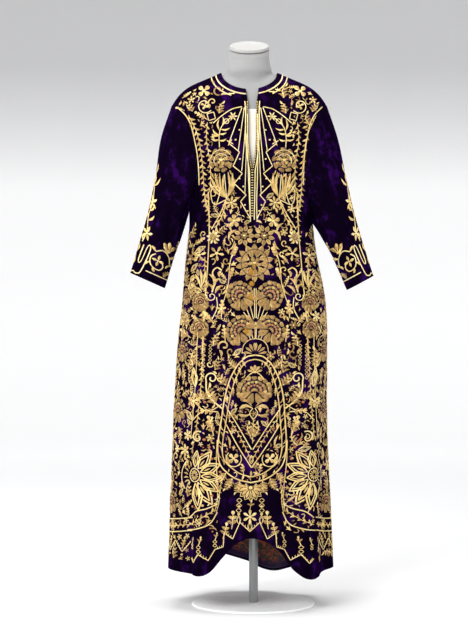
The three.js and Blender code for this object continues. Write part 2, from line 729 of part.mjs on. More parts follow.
// ---- Raised flowers ------------------------------------------------------------------
function flowerPlate(spec, material) {
  const count = spec.petals * 2;
  const turn = radians(spec.tilt);
  const ringAt = (share, out) =>
    range(count - 1).map((k) => {
      const angle = (k / count) * 2 * Math.PI;
      const notch = k % 2 === 0 ? 1 : 1 - PLATE_SCALLOP;
      const u = spec.wide * share * notch * Math.cos(angle);
      const v = spec.high * share * notch * Math.sin(angle);
      const z = spec.z + u * Math.sin(turn) + v * Math.cos(turn);
      const theta = thetaAt(spec.x + u * Math.cos(turn) - v * Math.sin(turn), z);
      return bodyPoint(theta, z).addScaledVector(bodyNormal(theta, z), out);
    });
  const top = PLATE_LIFT + PLATE_THICK;
  const rings = [
    ringAt(0.5, PLATE_LIFT),
    ringAt(1, PLATE_LIFT),
    ringAt(0.96, top),
    ringAt(0.5, top + 0.5),
  ];
  return ringStack(spec.name, rings, material);
}

function medallionMesh(material) {
  const { x, z, wide, up, down, band, steps } = MEDALLION;
  const lineAt = (extra, out) =>
    range(steps - 1).map((k) => {
      const angle = (k / steps) * 2 * Math.PI;
      const high = Math.sin(angle) > 0 ? up : down;
      const height = z + (high + extra) * Math.sin(angle);
      const theta = thetaAt(x + (wide + extra) * Math.cos(angle), height);
      return bodyPoint(theta, height).addScaledVector(bodyNormal(theta, height), out);
    });
  const top = PLATE_LIFT + PLATE_THICK;
  const outer = [lineAt(0, top), lineAt(-band, top)];
  const inner = [lineAt(0, PLATE_LIFT), lineAt(-band, PLATE_LIFT)];
  return wallBetween('motif_medallion', outer, inner, material, true);
}

// ---- Dress form ----------------------------------------------------------------------
// Half the torso's depth at a place across it, and the plan radius of neck and torso.
function torsoDepth(x, z, face) {
  const half = column(TORSO_ROWS, 'z', 'half', z);
  const below = ridge(Math.abs(x - TOP_SHIFT)) - FORM_CLEAR - z;
  const across = Math.max(1 - ((x - formCentre(z)) / half) ** 2, 0);
  return column(TORSO_ROWS, 'z', face, z) * Math.sqrt(across * Math.max(roundingSquared(below), 0));
}

function formCentre(z) {
  return mix(ring(FORM_FOOT).centre, TOP_SHIFT, smooth((z - FORM_FOOT) / (COVER_TOP - FORM_FOOT)));
}

function torsoRadius(phi, z) {
  const face = Math.cos(phi) >= 0 ? 'front' : 'back';
  let low = 0;
  let high = 260;
  for (let pass = 0; pass < 30; pass += 1) {
    const radius = (low + high) / 2;
    const depth = torsoDepth(formCentre(z) + radius * Math.sin(phi), z, face);
    const across = Math.abs(radius * Math.sin(phi));
    const wide = across < column(TORSO_ROWS, 'z', 'half', z);
    const under = ridge(Math.abs(formCentre(z) + radius * Math.sin(phi) - TOP_SHIFT)) > z + FORM_CLEAR;
    const inside = Math.abs(radius * Math.cos(phi)) < depth && wide && under;
    if (inside) low = radius;
    else high = radius;
  }
  return low;
}

function formRing(z) {
  return range(FORM_SIDES - 1).map((k) => {
    const phi = ((k + 0.5) / FORM_SIDES) * 2 * Math.PI;
    const neck = column(NECK_ROWS, 'z', 'radius', z);
    const radius = (torsoRadius(phi, z) ** 10 + neck ** 10) ** 0.1;
    const x = formCentre(z) + radius * Math.sin(phi);
    return new THREE.Vector3(x, -radius * Math.cos(phi), z);
  });
}

// The neck's top ring lies in the cap's slanting plane, just under the cap.
function neckTop() {
  return formRing(CAP.z).map((p) => {
    const z = CAP.z - SEAM_GAP * 2 + p.y * Math.tan(radians(CAP.tilt));
    return new THREE.Vector3(p.x, p.y, z);
  });
}

function lathe(name, profile, material, sides) {
  const geometry = new THREE.LatheGeometry(profile.map(([r, z]) => new THREE.Vector2(r, z)), sides);
  geometry.rotateX(Math.PI / 2);
  const mesh = new THREE.Mesh(geometry, material);
  mesh.name = name;
  return mesh;
}

// ---- Materials -----------------------------------------------------------------------
const finish = (color, roughness, metalness) =>
  new THREE.MeshStandardMaterial({ color, roughness, metalness });
const velvet = finish(0x2a0c55, 0.85, 0);
const gusset = finish(0x1d0840, 0.85, 0);
const gold = finish(0xc9a05c, 0.45, 0.6);
const lining = finish(0x6b3a24, 0.9, 0);
const formGrey = finish(0xafb1b0, 0.6, 0);
const coverWhite = finish(0xf0f0ee, 0.9, 0);
const capWhite = finish(0xe9e9e6, 0.6, 0);
const steel = finish(0xb4b6b8, 0.35, 0.8);
const plate = finish(0xe4e4e4, 0.5, 0.1);

// ---- The model -----------------------------------------------------------------------
const model = new THREE.Group();
const back = backGrid();
const fronts = { left: frontGrid('left'), right: frontGrid('right') };
const gussets = { left: gussetGrid('left'), right: gussetGrid('right') };

for (const side of ['left', 'right']) {
  const seam = armholeSeam(side, fronts[side], gussets[side], back);
  const sleeve = sleeveGrid(side, seam.cells, 0, CUFF_FROM, SLEEVE_STEPS);
  const cuff = sleeveGrid(side, seam.cells, CUFF_FROM, 1, 1);
  const normals = tubeNormals(sleeve, (i) => middleOf(sleeve[i]));
  const through = normals.map((row) => row.map((n) => n.clone().multiplyScalar(-WALL)));
  seam.cells.forEach((cell, k) => {
    const shared = mitre(cell.normal, normals[0][k]);
    through[0][k] = shared;
    cell.through = shared;
  });
  seam.shoulderTwin.through = seam.cells[0].through;
  const backColumn = side === 'left' ? 0 : BACK_STEPS;
  const notchRow = SKIRT_STEPS + GUSSET_STEPS;
  gussets[side][GUSSET_STEPS][0].through = fronts[side][notchRow][FRONT_STEPS].through;
  gussets[side][GUSSET_STEPS][SIDE_STEPS].through = back[notchRow][backColumn].through;
  const half = SEAM_GAP / 2;
  model.add(tubeMesh(`sleeve_${side}`, sleeve, through, velvet, SEAM_GAP, half));
  const last = through[through.length - 1];
  model.add(tubeMesh(`cuff_${side}`, cuff, [last, last], velvet, half, 0));
}

const openHem = { bottom: false, top: true, start: true, end: true };
for (const side of ['left', 'right']) {
  model.add(panelMesh(`front_${side}`, fronts[side], velvet, openHem));
  model.add(panelMesh(`underarm_${side}`, gussets[side], gusset));
  model.add(panelMesh(`side_gore_${side}`, goreGrid(side), velvet, openHem));
  model.add(braidMesh(side, gold));
}
model.add(panelMesh('back', back, velvet, openHem));
model.add(panelMesh('neckband', neckbandGrid(), velvet, { bottom: true }));
model.add(liningMesh(back, lining));

for (const spec of FLOWER_PLATES) model.add(flowerPlate(spec, gold));
model.add(medallionMesh(gold));

model.add(ringStack('form_bust', [...BUST_HEIGHTS.map(formRing), neckTop()], formGrey));
model.add(ringStack('form_cover', COVER_HEIGHTS.map(formRing), coverWhite));

const capProfile = [
  [0, 0],
  [CAP.radius - CAP.inset, 0],
  [CAP.radius - CAP.inset, CAP.step],
  [CAP.radius, CAP.step],
  [CAP.radius, CAP.thick - CAP.rim],
  [CAP.radius - CAP.rim, CAP.thick],
  [0, CAP.thick],
];
const cap = lathe('form_cap', capProfile, capWhite, FORM_SIDES);
cap.position.set(TOP_SHIFT, 0, CAP.z);
cap.rotation.x = radians(CAP.tilt);
model.add(cap);

const poleTop = FORM_FOOT - SEAM_GAP;
const poleFoot = BASE.thick + SEAM_GAP;
const poleProfile = [[0, poleFoot], [POLE_RADIUS, poleFoot], [POLE_RADIUS, poleTop], [0, poleTop]];
model.add(lathe('pole', poleProfile, steel, 24));
const baseProfile = [
  [0, 0],
  [BASE.radius, 0],
  [BASE.radius, BASE.thick - BASE.rim],
  [BASE.radius - BASE.rim, BASE.thick],
  [0, BASE.thick],
];
model.add(lathe('base_plate', baseProfile, plate, 48));

export default model;
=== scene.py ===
"""A long velvet bindalli dress on a limbless dress form with a pole and a base plate.

The body of the dress is one smooth surface. A point of it is named by an angle round the
body, theta (0 at the centre front, positive towards +X), and a height z. All shapes are
worked out in millimetres and become metres when they are put into a mesh.
"""
from functools import partial

import bpy
import numpy as np
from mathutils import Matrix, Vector


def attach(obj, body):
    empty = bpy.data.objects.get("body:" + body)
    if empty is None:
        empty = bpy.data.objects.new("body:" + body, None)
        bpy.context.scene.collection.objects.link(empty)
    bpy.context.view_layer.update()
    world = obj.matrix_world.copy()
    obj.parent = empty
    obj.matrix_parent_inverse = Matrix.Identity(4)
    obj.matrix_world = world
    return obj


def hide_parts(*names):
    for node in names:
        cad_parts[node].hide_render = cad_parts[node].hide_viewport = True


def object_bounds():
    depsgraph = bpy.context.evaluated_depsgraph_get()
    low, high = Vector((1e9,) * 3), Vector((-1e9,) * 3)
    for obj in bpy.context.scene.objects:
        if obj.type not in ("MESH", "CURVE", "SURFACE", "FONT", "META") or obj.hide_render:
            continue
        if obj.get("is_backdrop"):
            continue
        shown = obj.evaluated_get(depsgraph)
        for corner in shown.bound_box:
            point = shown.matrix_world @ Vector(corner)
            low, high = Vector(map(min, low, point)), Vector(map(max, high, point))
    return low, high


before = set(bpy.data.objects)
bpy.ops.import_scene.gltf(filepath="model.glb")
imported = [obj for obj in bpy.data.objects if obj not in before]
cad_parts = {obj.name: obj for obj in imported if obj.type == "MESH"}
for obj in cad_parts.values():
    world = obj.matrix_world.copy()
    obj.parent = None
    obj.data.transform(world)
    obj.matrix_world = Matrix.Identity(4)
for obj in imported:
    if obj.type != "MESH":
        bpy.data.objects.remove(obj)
CAD_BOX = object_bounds()

bl_info = {
    "name": "Bindalli Dress",
    "version": (1, 0, 0),
    "blender": (4, 5, 0),
    "location": "3D View > Sidebar > Bindalli",
    "description": "Builds a gold embroidered velvet dress on a dress form",
    "category": "Object",
}

MM = 0.001
PI = np.pi


# ---- Sizes, in millimetres --------------------------------------------------------------
def table(names, *rows):
    """A table with named columns, each an array."""
    return dict(zip(names.split(), np.array(rows, float).T))


WALL = 2.0
SEAM_GAP = 0.3
LINING_WALL = 1.8
LINING_GAP = 0.4
CUFF_FROM = 0.94
NECKBAND_WIDTH = 12.0
FRONT_SPREAD = 0.8
BACK_SPREAD = 0.15
# Height of the plain facing inside the hem, and of its soft upper edge.
HEM_FACING, FACING_FADE = 26.0, 3.0
# How deep the cloth dips along a seam, and over what distance.
SEAM_DIP, SEAM_REACH = 1.2, 4.5
# Half the height over which the skirt's way of finding normals gives way to the yoke's.
NORMAL_BLEND = 20.0

BODY = table(
    "z left right front back",
    (20, 244, 219, 190, 246),
    (100, 242, 217, 187, 238),
    (300, 234, 209, 172, 216),
    (490, 225, 204, 160, 190),
    (700, 214, 206, 146, 160),
    (850, 201, 203, 131, 136),
    (980, 188, 176, 117, 114),
    (1060, 180, 167, 115, 105),
    (1120, 183, 170, 118, 102),
    (1187, 200, 180, 124, 102),
    (1250, 215, 192, 126, 104),
    (1310, 230, 206, 120, 105),
    (1380, 241, 217, 107, 99),
    (1432, 243, 219, 90, 99),
    (1490, 243, 219, 68, 110),
)
TOP_SHIFT = -12.0
NECK_HALF = 78.3
RIDGE = table(
    "out z", (78.3, 1487), (112, 1473), (166, 1449), (194, 1427), (217, 1396), (235, 1366)
)
RIDGE_RISE = 16.0
SHOULDER_ROUNDING = 90.0
SHOULDER_OUT = 217.0
NECK_FRONT_Z = 1432.0
NECK_BACK_Z = 1478.0
CENTRE_X = -4.5
SLIT = table("z half", (1204, 0), (1240, 6), (1290, 10.5), (1385, 11.5), (1432, 18.5))
NOTCH_Z = 1187.0
GORE_Z = 1050.0
SEAM = table(
    "z left right",
    (20, -187, 176),
    (300, -172, 168),
    (739, -129, 143),
    (1050, -130, 141),
    (1131, -144, 141),
    (1187, -158, 144),
)
ARMHOLE = table(
    "z front_left front_right back_left back_right",
    (1187, -158, 144, -158, 144),
    (1224, -160, 145, -164, 149),
    (1282, -168, 151, -175, 157),
    (1352, -188, 168, -196, 174),
    (1396, -229, 205, -229, 205),
)
UNDERARM_BOTTOM = {"left": 1100.0, "right": 1064.0}
UNDERARM_POINT = 985.0
HEM = table(
    "at z",
    (-180, 88), (-170, 101), (-155, 118), (-130, 118), (-90, 112), (-60, 106), (-42, 100),
    (-30, 108), (-20, 150), (-10, 190), (0, 207), (12, 196), (24, 160), (32, 118), (42, 92),
    (58, 92), (75, 106), (110, 104), (140, 84), (160, 62), (170, 66), (180, 88),
)
FOLD_FULL_Z = 120.0
FOLDS = table(
    "at wide out start",
    (-49, 7, -17, 560), (-23, 8, -9, 700), (-36, 8, 6, 640), (2, 12, 5, 760),
    (27, 8, -10, 720), (44, 9, 8, 640), (66, 8, -13, 620), (86, 10, 7, 760),
    (108, 10, -11, 820), (130, 9, 9, 700), (150, 8, -15, 900), (170, 9, 8, 860),
    (-70, 9, 6, 700), (-92, 10, -9, 800), (-116, 10, 9, 760), (-138, 8, -14, 900),
    (-160, 9, 7, 820),
)
# Smaller soft creases of the hung cloth: place and half-width in degrees, height and
# half-length, how far it leans (degrees in 100 mm of height), and how far out it stands.
CREASES = table(
    "at z wide tall lean out",
    (-33, 1092, 10, 46, 9, -2.6), (-14, 1112, 8, 60, -5, -1.6), (15, 1100, 8, 52, 6, -1.9),
    (34, 1086, 10, 48, -9, -2.5), (-24, 1046, 9, 40, 12, 1.8), (27, 1040, 9, 42, -12, 1.8),
    (-56, 1004, 11, 40, 20, -3.4), (-66, 942, 12, 52, 15, 2.8), (57, 1000, 11, 40, -20, -3.2),
    (68, 938, 12, 54, -15, 2.8), (-19, 720, 6, 120, 1, -2.2), (20, 700, 6, 130, -1, -2.6),
    (-40, 830, 7, 100, 3, 2.4), (39, 812, 7, 110, -3, 2.2), (-8, 330, 5, 100, 2, -2.4),
    (11, 372, 5, 120, -1, -2.8), (-31, 470, 5, 120, 1, -3.2), (35, 452, 5, 110, -1, -3.2),
    (-58, 420, 6, 160, 2, -4.2), (-80, 520, 7, 170, -1, 3.6), (56, 430, 6, 150, -2, 3.8),
    (76, 512, 7, 170, 2, -4.4), (96, 400, 6, 150, 1, 3.6), (-104, 470, 7, 160, -2, -4),
    (118, 600, 7, 190, 2, 3.4), (-126, 640, 7, 190, -1, 3.4), (139, 500, 6, 180, -1, -4.6),
    (160, 620, 7, 200, 1, -4.4), (177, 520, 7, 210, -1, 4.2), (-168, 650, 7, 210, 1, -4.4),
    (-150, 470, 6, 170, 1, 4), (172, 1010, 12, 60, 8, -3.2), (-166, 1040, 11, 56, -9, -2.8),
    (146, 1080, 10, 60, 10, 2.6), (-144, 1098, 10, 60, -10, 2.6), (178, 1210, 7, 90, 2, -2.4),
    (152, 1260, 8, 90, -6, 2.2), (-156, 1270, 8, 90, 6, 2.2), (-34, 1288, 7, 70, -8, -2),
    (35, 1280, 7, 70, 8, -2), (-46, 1330, 6, 60, -12, 1.8), (47, 1326, 6, 60, 12, 1.8),
    (92, 880, 12, 70, 6, -3), (-94, 868, 12, 74, -6, -3), (124, 860, 10, 80, 8, -2.6),
    (-121, 848, 10, 84, -8, -2.6),
)
SLEEVE_ROWS = {
    "left": table(
        "at outer_x outer_z inner_x inner_z deep",
        (0, -229, 1396, -179, 1100, 80), (0.2, -260, 1300, -191, 1058, 77),
        (0.4, -274, 1200, -205, 1015, 70), (0.6, -294, 1100, -220, 972, 61),
        (0.8, -321, 1005, -234, 928, 52), (1, -345, 928, -248, 885, 46),
    ),
    "right": table(
        "at outer_x outer_z inner_x inner_z deep",
        (0, 205, 1396, 166, 1064, 80), (0.2, 237, 1300, 182, 1040, 77),
        (0.4, 258, 1200, 199, 1010, 70), (0.6, 280, 1100, 220, 970, 61),
        (0.8, 307, 1005, 241, 925, 52), (1, 336, 920, 261, 880, 46),
    ),
}
SLEEVE_BLEND = 0.5
# Folds of a sleeve: angle from the shoulder down the front and half-width in degrees,
# where it lies along the sleeve and its half-length, its lean in degrees, and its height.
SLEEVE_CREASES = table(
    "at along wide tall lean out", (24, 0.62, 13, 0.40, 0, 3.4), (52, 0.70, 12, 0.34, -14, -4.6),
    (84, 0.64, 14, 0.36, 10, 4.2), (112, 0.50, 12, 0.26, 26, -4.2), (138, 0.40, 12, 0.20, 34, 3.6),
    (70, 0.24, 16, 0.14, 40, -3.2), (104, 0.84, 12, 0.20, -12, -3.2),
    (205, 0.42, 14, 0.24, -30, -4.2), (236, 0.56, 13, 0.32, -16, 4),
    (268, 0.64, 13, 0.36, 8, -4.8), (300, 0.70, 13, 0.34, 12, 4), (332, 0.58, 12, 0.36, 0, -3.2),
    (180, 0.62, 14, 0.22, 0, -2.6), (40, 0.34, 12, 0.16, 22, 2.6), (318, 0.30, 12, 0.16, -22, 2.6),
    (252, 0.24, 16, 0.14, -34, 3.2),
)

# Grid steps of the coarse panels, which the fine ones keep as real numbers.
SKIRT_STEPS, GUSSET_STEPS, YOKE_STEPS = 10, 2, 9
PANEL_ROWS = SKIRT_STEPS + GUSSET_STEPS + YOKE_STEPS
NOTCH_ROW = SKIRT_STEPS + GUSSET_STEPS
NECK_SHARE = 0.4
BACK_SHARE = 1 / 3


# ---- Small helpers ----------------------------------------------------------------------
def mix(a, b, t):
    return a + (b - a) * t


def smooth(t):
    u = np.clip(t, 0, 1)
    return u * u * (3 - 2 * u)


def unit(v):
    return v / np.maximum(np.linalg.norm(v, axis=-1, keepdims=True), 1e-12)


def column(rows, key, name, at):
    """A cubic Hermite curve through a table's column; each slope joins the neighbours."""
    keys, values = rows[key], rows[name]
    last = len(keys) - 1
    here = np.arange(last + 1)
    before, after = np.maximum(here - 1, 0), np.minimum(here + 1, last)
    slopes = (values[after] - values[before]) / (keys[after] - keys[before])
    at = np.asarray(at, float)
    i = np.clip(np.searchsorted(keys, at) - 1, 0, last - 1)
    span = keys[i + 1] - keys[i]
    u = np.clip((at - keys[i]) / span, 0, 1)
    start = (1 - u) ** 2 * (values[i] * (1 + 2 * u) + slopes[i] * span * u)
    return start + u * u * (values[i + 1] * (3 - 2 * u) - slopes[i + 1] * span * (1 - u))


# ---- The surface of the dress -----------------------------------------------------------
def ring(z):
    """The ellipse at a height: its centre, half-width, front depth and back depth."""
    left, right = column(BODY, "z", "left", z), column(BODY, "z", "right", z)
    front, back = column(BODY, "z", "front", z), column(BODY, "z", "back", z)
    return (right - left) / 2, (right + left) / 2, front, back


def ridge(out):
    """The height of the shoulder line at a distance from the middle of the neck."""
    arch = RIDGE["z"][0] + RIDGE_RISE * (1 - (out / NECK_HALF) ** 2)
    return np.where(out < NECK_HALF, arch, column(RIDGE, "out", "z", out))


def rounding_squared(below):
    return 1 - np.maximum(1 - below / SHOULDER_ROUNDING, 0) ** 2


def turned(degrees):
    """The same angle between -180 and 180 degrees."""
    return (degrees + 540) % 360 - 180


def folds_out(theta, z):
    """The sum of the long folds, each a bell across its angle that grows towards the hem,
    and of the small creases, each a bell across its own leaning line."""
    degrees = np.rad2deg(theta)
    total = np.zeros(np.broadcast(degrees, z).shape)
    for at, wide, out, start in zip(*FOLDS.values()):
        grown = smooth((start - z) / (start - FOLD_FULL_Z))
        total = total + out * grown * np.exp(-((turned(degrees - at) / wide) ** 2))
    depth = bpy.context.scene.bindalli_cloth.crease_depth
    for at, mid, wide, tall, lean, out in zip(*CREASES.values()):
        away = turned(degrees - at - lean * (z - mid) / 100)
        bell = np.exp(-((away / wide) ** 2) - ((z - mid) / tall) ** 2)
        total = total + depth * out * bell
    return total


def body_point(theta, z):
    """A point of the cloth's outside: an ellipse whose depth shrinks to nothing at the
    shoulder line, moved outwards by the folds."""
    theta, z = np.broadcast_arrays(np.asarray(theta, float), np.asarray(z, float))
    centre, half, front, back = ring(z)
    depth = np.where(np.cos(theta) >= 0, front, back)
    x = centre + half * np.sin(theta)
    below = ridge(np.abs(x - TOP_SHIFT)) - z
    y = -depth * np.cos(theta) * np.sqrt(np.maximum(rounding_squared(below), 0))
    across = unit(np.stack([np.sin(theta) / half, -np.cos(theta) / depth, 0 * z], -1))
    return np.stack([x, y, z], -1) + across * folds_out(theta, z)[..., None]


def body_normal(theta, z):
    """The outward normal: from differences on the skirt, and on the yoke from the slope
    of the squared depth, which stays even over the shoulder line."""
    theta, z = np.broadcast_arrays(np.asarray(theta, float), np.asarray(z, float))
    step = 0.01
    around = body_point(theta + step, z) - body_point(theta - step, z)
    rise = body_point(theta, z + 1) - body_point(theta, z - 1)
    lower = unit(np.cross(around, rise))

    def squared(x, height):
        centre, half, front, back = ring(height)
        depth = np.where(np.cos(theta) >= 0, front, back)
        share = 1 - ((x - centre) / half) ** 2
        return depth**2 * share * rounding_squared(ridge(np.abs(x - TOP_SHIFT)) - height)

    x, y, _ = np.moveaxis(body_point(theta, z), -1, 0)
    by_x = (squared(x + step, z) - squared(x - step, z)) / (2 * step)
    by_z = (squared(x, z + step) - squared(x, z - step)) / (2 * step)
    upper = unit(np.stack([-by_x, 2 * y, -by_z], -1))
    share = smooth((z - NOTCH_Z + NORMAL_BLEND) / (2 * NORMAL_BLEND))[..., None]
    return unit(mix(lower, upper, share))


def raised(theta, z, height):
    """Points at a height over the cloth, along its normal."""
    return body_point(theta, z) + body_normal(theta, z) * height[..., None]


def theta_at(x, z, back=False):
    centre, half, _, _ = ring(z)
    theta = np.arcsin(np.clip((x - centre) / half, -1, 1))
    return np.where(back, PI - theta, theta)


def hem_z(theta):
    return column(HEM, "at", "z", turned(np.rad2deg(theta)))


def slit_edge(sign, z):
    return CENTRE_X + sign * np.maximum(column(SLIT, "z", "half", z), 0)


def seam_theta(side, z):
    return theta_at(column(SEAM, "z", side, z), z)


def neck_edge(alpha, extra):
    """A line round the neck, outside its edge by extra: plan angle from the centre front."""
    out = NECK_HALF + extra
    behind = np.cos(alpha) < 0
    lowest = np.where(behind, NECK_BACK_Z, NECK_FRONT_Z) - extra
    top = ridge(out)
    z = top - (top - lowest) * np.abs(np.cos(alpha))
    return TOP_SHIFT + out * np.sin(alpha), z, behind


def slit_alpha(sign, extra):
    x = slit_edge(sign, NECK_FRONT_Z - extra)
    return np.arcsin((x - TOP_SHIFT) / (NECK_HALF + extra))


# ---- Meshes -----------------------------------------------------------------------------
def grid_quads(rows, columns, wrapped=False, first=0):
    """The faces of a grid of points; a wrapped grid joins its last column to its first."""
    across = np.arange(columns if wrapped else columns - 1)
    i, j = np.meshgrid(np.arange(rows - 1), across, indexing="ij")
    k = (j + 1) % columns
    corners = [i * columns + j, i * columns + k, (i + 1) * columns + k, (i + 1) * columns + j]
    return first + np.stack(corners, -1).reshape(-1, 4)


def make_piece(name, points, quads, fans=(), **attributes):
    """Puts points in millimetres and their faces into a new object. The faces turn over
    together if they enclose a negative volume."""
    a, b, c, d = (points[quads[:, k]] for k in range(4))
    volume = np.sum(a * np.cross(b, c)) + np.sum(a * np.cross(c, d))
    faces = [quads if volume > 0 else quads[:, ::-1]]
    faces += [fan if volume > 0 else fan[:, ::-1] for fan in fans]
    mesh = bpy.data.meshes.new(name)
    mesh.from_pydata((points * MM).tolist(), [], [f for part in faces for f in part.tolist()])
    mesh.polygons.foreach_set("use_smooth", np.ones(len(mesh.polygons), bool))
    for key, values in attributes.items():
        kind = "FLOAT_VECTOR" if np.ndim(values) == 2 else "FLOAT"
        layer = mesh.attributes.new(key, kind, "POINT")
        layer.data.foreach_set("vector" if kind == "FLOAT_VECTOR" else "value", np.ravel(values))
    mesh.update()
    piece = bpy.data.objects.new(name, mesh)
    bpy.context.scene.collection.objects.link(piece)
    return piece


def finish(piece, material, nodes=()):
    """Gives a piece its body and its material, and hides what it stands for."""
    piece.data.materials.append(material)
    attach(piece, "root")
    if nodes:
        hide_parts(*nodes)
    return piece


def wall(name, outer, inner, wrapped=False, lined=1.0):
    """A thin closed shell between two grids. Its free edges are half round: a middle line
    is pushed out past the edge by 0.4 of the thickness. Attribute inside is 0 but for the
    inner face, where it is 1 or the lined share."""
    rows, columns = outer.shape[:2]
    size = rows * columns
    flat, flat_inner = outer.reshape(-1, 3), inner.reshape(-1, 3)
    quads = [
        grid_quads(rows, columns, wrapped),
        grid_quads(rows, columns, wrapped, size)[:, ::-1],
    ]
    ids = np.arange(size).reshape(rows, columns)
    if wrapped:
        edges = [(ids[0], ids[1]), (ids[-1][::-1], ids[-2][::-1])]
    else:
        loop = np.concatenate([ids[0, :-1], ids[:-1, -1], ids[-1, :0:-1], ids[:0:-1, 0]])
        i, j = np.clip(loop // columns, 1, rows - 2), np.clip(loop % columns, 1, columns - 2)
        edges = [(loop, ids[i, j])]
    points, first = [flat, flat_inner], 2 * size
    for loop, inward in edges:
        a, b = flat[loop], flat_inner[loop]
        thick = np.linalg.norm(a - b, axis=-1, keepdims=True)
        points.append((a + b) / 2 + unit(a - flat[inward]) * thick * 0.4)
        k = np.arange(len(loop))
        n = (k + 1) % len(loop)
        quads.append(np.stack([loop[n], loop[k], first + k, first + n], -1))
        quads.append(np.stack([first + n, first + k, size + loop[k], size + loop[n]], -1))
        first += len(loop)
    points = np.concatenate(points)
    inside = np.zeros(len(points))
    inside[size : 2 * size] = np.ravel(lined)
    return make_piece(name, points, np.concatenate(quads), inside=inside)


def ring_stack(name, rings):
    """A closed body through rings of points, with a fan to the middle at both ends."""
    rows, sides = rings.shape[:2]
    size = rows * sides
    points = np.concatenate([rings.reshape(-1, 3), [rings[0].mean(0)], [rings[-1].mean(0)]])
    j = np.arange(sides)
    k = (j + 1) % sides
    last = size - sides
    low = np.stack([k, j, np.full(sides, size)], -1)
    high = np.stack([last + j, last + k, np.full(sides, size + 1)], -1)
    return make_piece(name, points, grid_quads(rows, sides, True), (low, high))


def lathe(name, profile, centre=(0, 0, 0), tilt=0.0, sides=128):
    """A profile of (radius, height) points turned round an upright line, then tipped
    forwards about its centre by an angle."""
    radius, height = np.array(profile, float).T[..., None]
    angle = np.linspace(0, 2 * PI, sides, endpoint=False)
    x, y = radius * np.sin(angle), -radius * np.cos(angle)
    z = height + 0 * angle
    tipped = [x, y * np.cos(tilt) - z * np.sin(tilt), y * np.sin(tilt) + z * np.cos(tilt)]
    return ring_stack(name, np.stack(tipped, -1) + np.array(centre, float))


def rounded(corners, steps=5):
    """A profile whose corners (radius, height, bend) are rounded: each corner becomes a
    quadratic curve that starts and ends at its bend's distance from it."""
    corners = np.array(corners, float)
    line = [corners[0, :2]]
    for before, here, after in zip(corners, corners[1:], corners[2:]):
        bend = here[2]
        a = here[:2] + unit(before[:2] - here[:2]) * bend
        b = here[:2] + unit(after[:2] - here[:2]) * bend
        t = np.linspace(0, 1, steps)[:, None]
        curve = (1 - t) ** 2 * a + 2 * t * (1 - t) * here[:2] + t * t * b
        line += list(curve) if bend else [here[:2]]
    return line + [corners[-1, :2]]


# ---- Cut pieces of the body -------------------------------------------------------------
def yoke_share(i):
    left = 1 - (i - NOTCH_ROW) / YOKE_STEPS
    return 1 - left * left


def lower_height(i, theta):
    """Height of row i: from the hem to the gores' top, and on to the armholes' notch."""
    skirt = mix(hem_z(theta), GORE_Z, i / SKIRT_STEPS)
    above = mix(GORE_Z, NOTCH_Z, (i - SKIRT_STEPS) / GUSSET_STEPS)
    return np.where(i <= SKIRT_STEPS, skirt, above)


def grown_share(i):
    return np.minimum(i / NOTCH_ROW, 1) ** 2


def spread_share(s, bend, spread, i):
    """Columns even at the hem, which spread towards the shoulder: share bend goes to spread."""
    moved = np.where(s < bend, spread * s / bend, mix(spread, 1, (s - bend) / (1 - bend)))
    return mix(s, moved, grown_share(i))


def spread_both(s, bend, spread, i):
    """The same from both sides towards the middle."""
    half = np.minimum(s, 1 - s)
    middle = mix(spread, 0.5, (half - bend) / (0.5 - bend))
    share = mix(half, np.where(half < bend, spread * half / bend, middle), grown_share(i))
    return np.where(s > 0.5, 1 - share, share)


def lower_place(across, share, i):
    """Angle and height below the notch, found in two rounds because the hem isn't level."""
    rough = lower_height(i, across(share, GORE_Z))
    z = lower_height(i, across(share, rough))
    return across(share, z), z


def notch_place(theta):
    centre, half, _, _ = ring(NOTCH_Z)
    return np.stack([centre + half * np.sin(theta), NOTCH_Z + 0 * theta])


def filled_patch(bottom, top, start, end, s, t):
    """A patch between four edges: the two lofts less the corners' bilinear patch."""
    low = mix(bottom(0 * s), bottom(0 * s + 1), s)
    high = mix(top(0 * s), top(0 * s + 1), s)
    return mix(bottom(s), top(s), t) + mix(start(t), end(t), s) - mix(low, high, t)


def armhole(side, face, t):
    z = mix(NOTCH_Z, ridge(SHOULDER_OUT), t)
    return np.stack([column(ARMHOLE, "z", f"{face}_{side}", z), z])


def shoulder_line(sign, share):
    out = mix(NECK_HALF + NECKBAND_WIDTH, SHOULDER_OUT, share)
    return np.stack([TOP_SHIFT + sign * out, ridge(out)])


def neck_line(alpha):
    x, z, _ = neck_edge(alpha, NECKBAND_WIDTH)
    return np.stack([x, z])


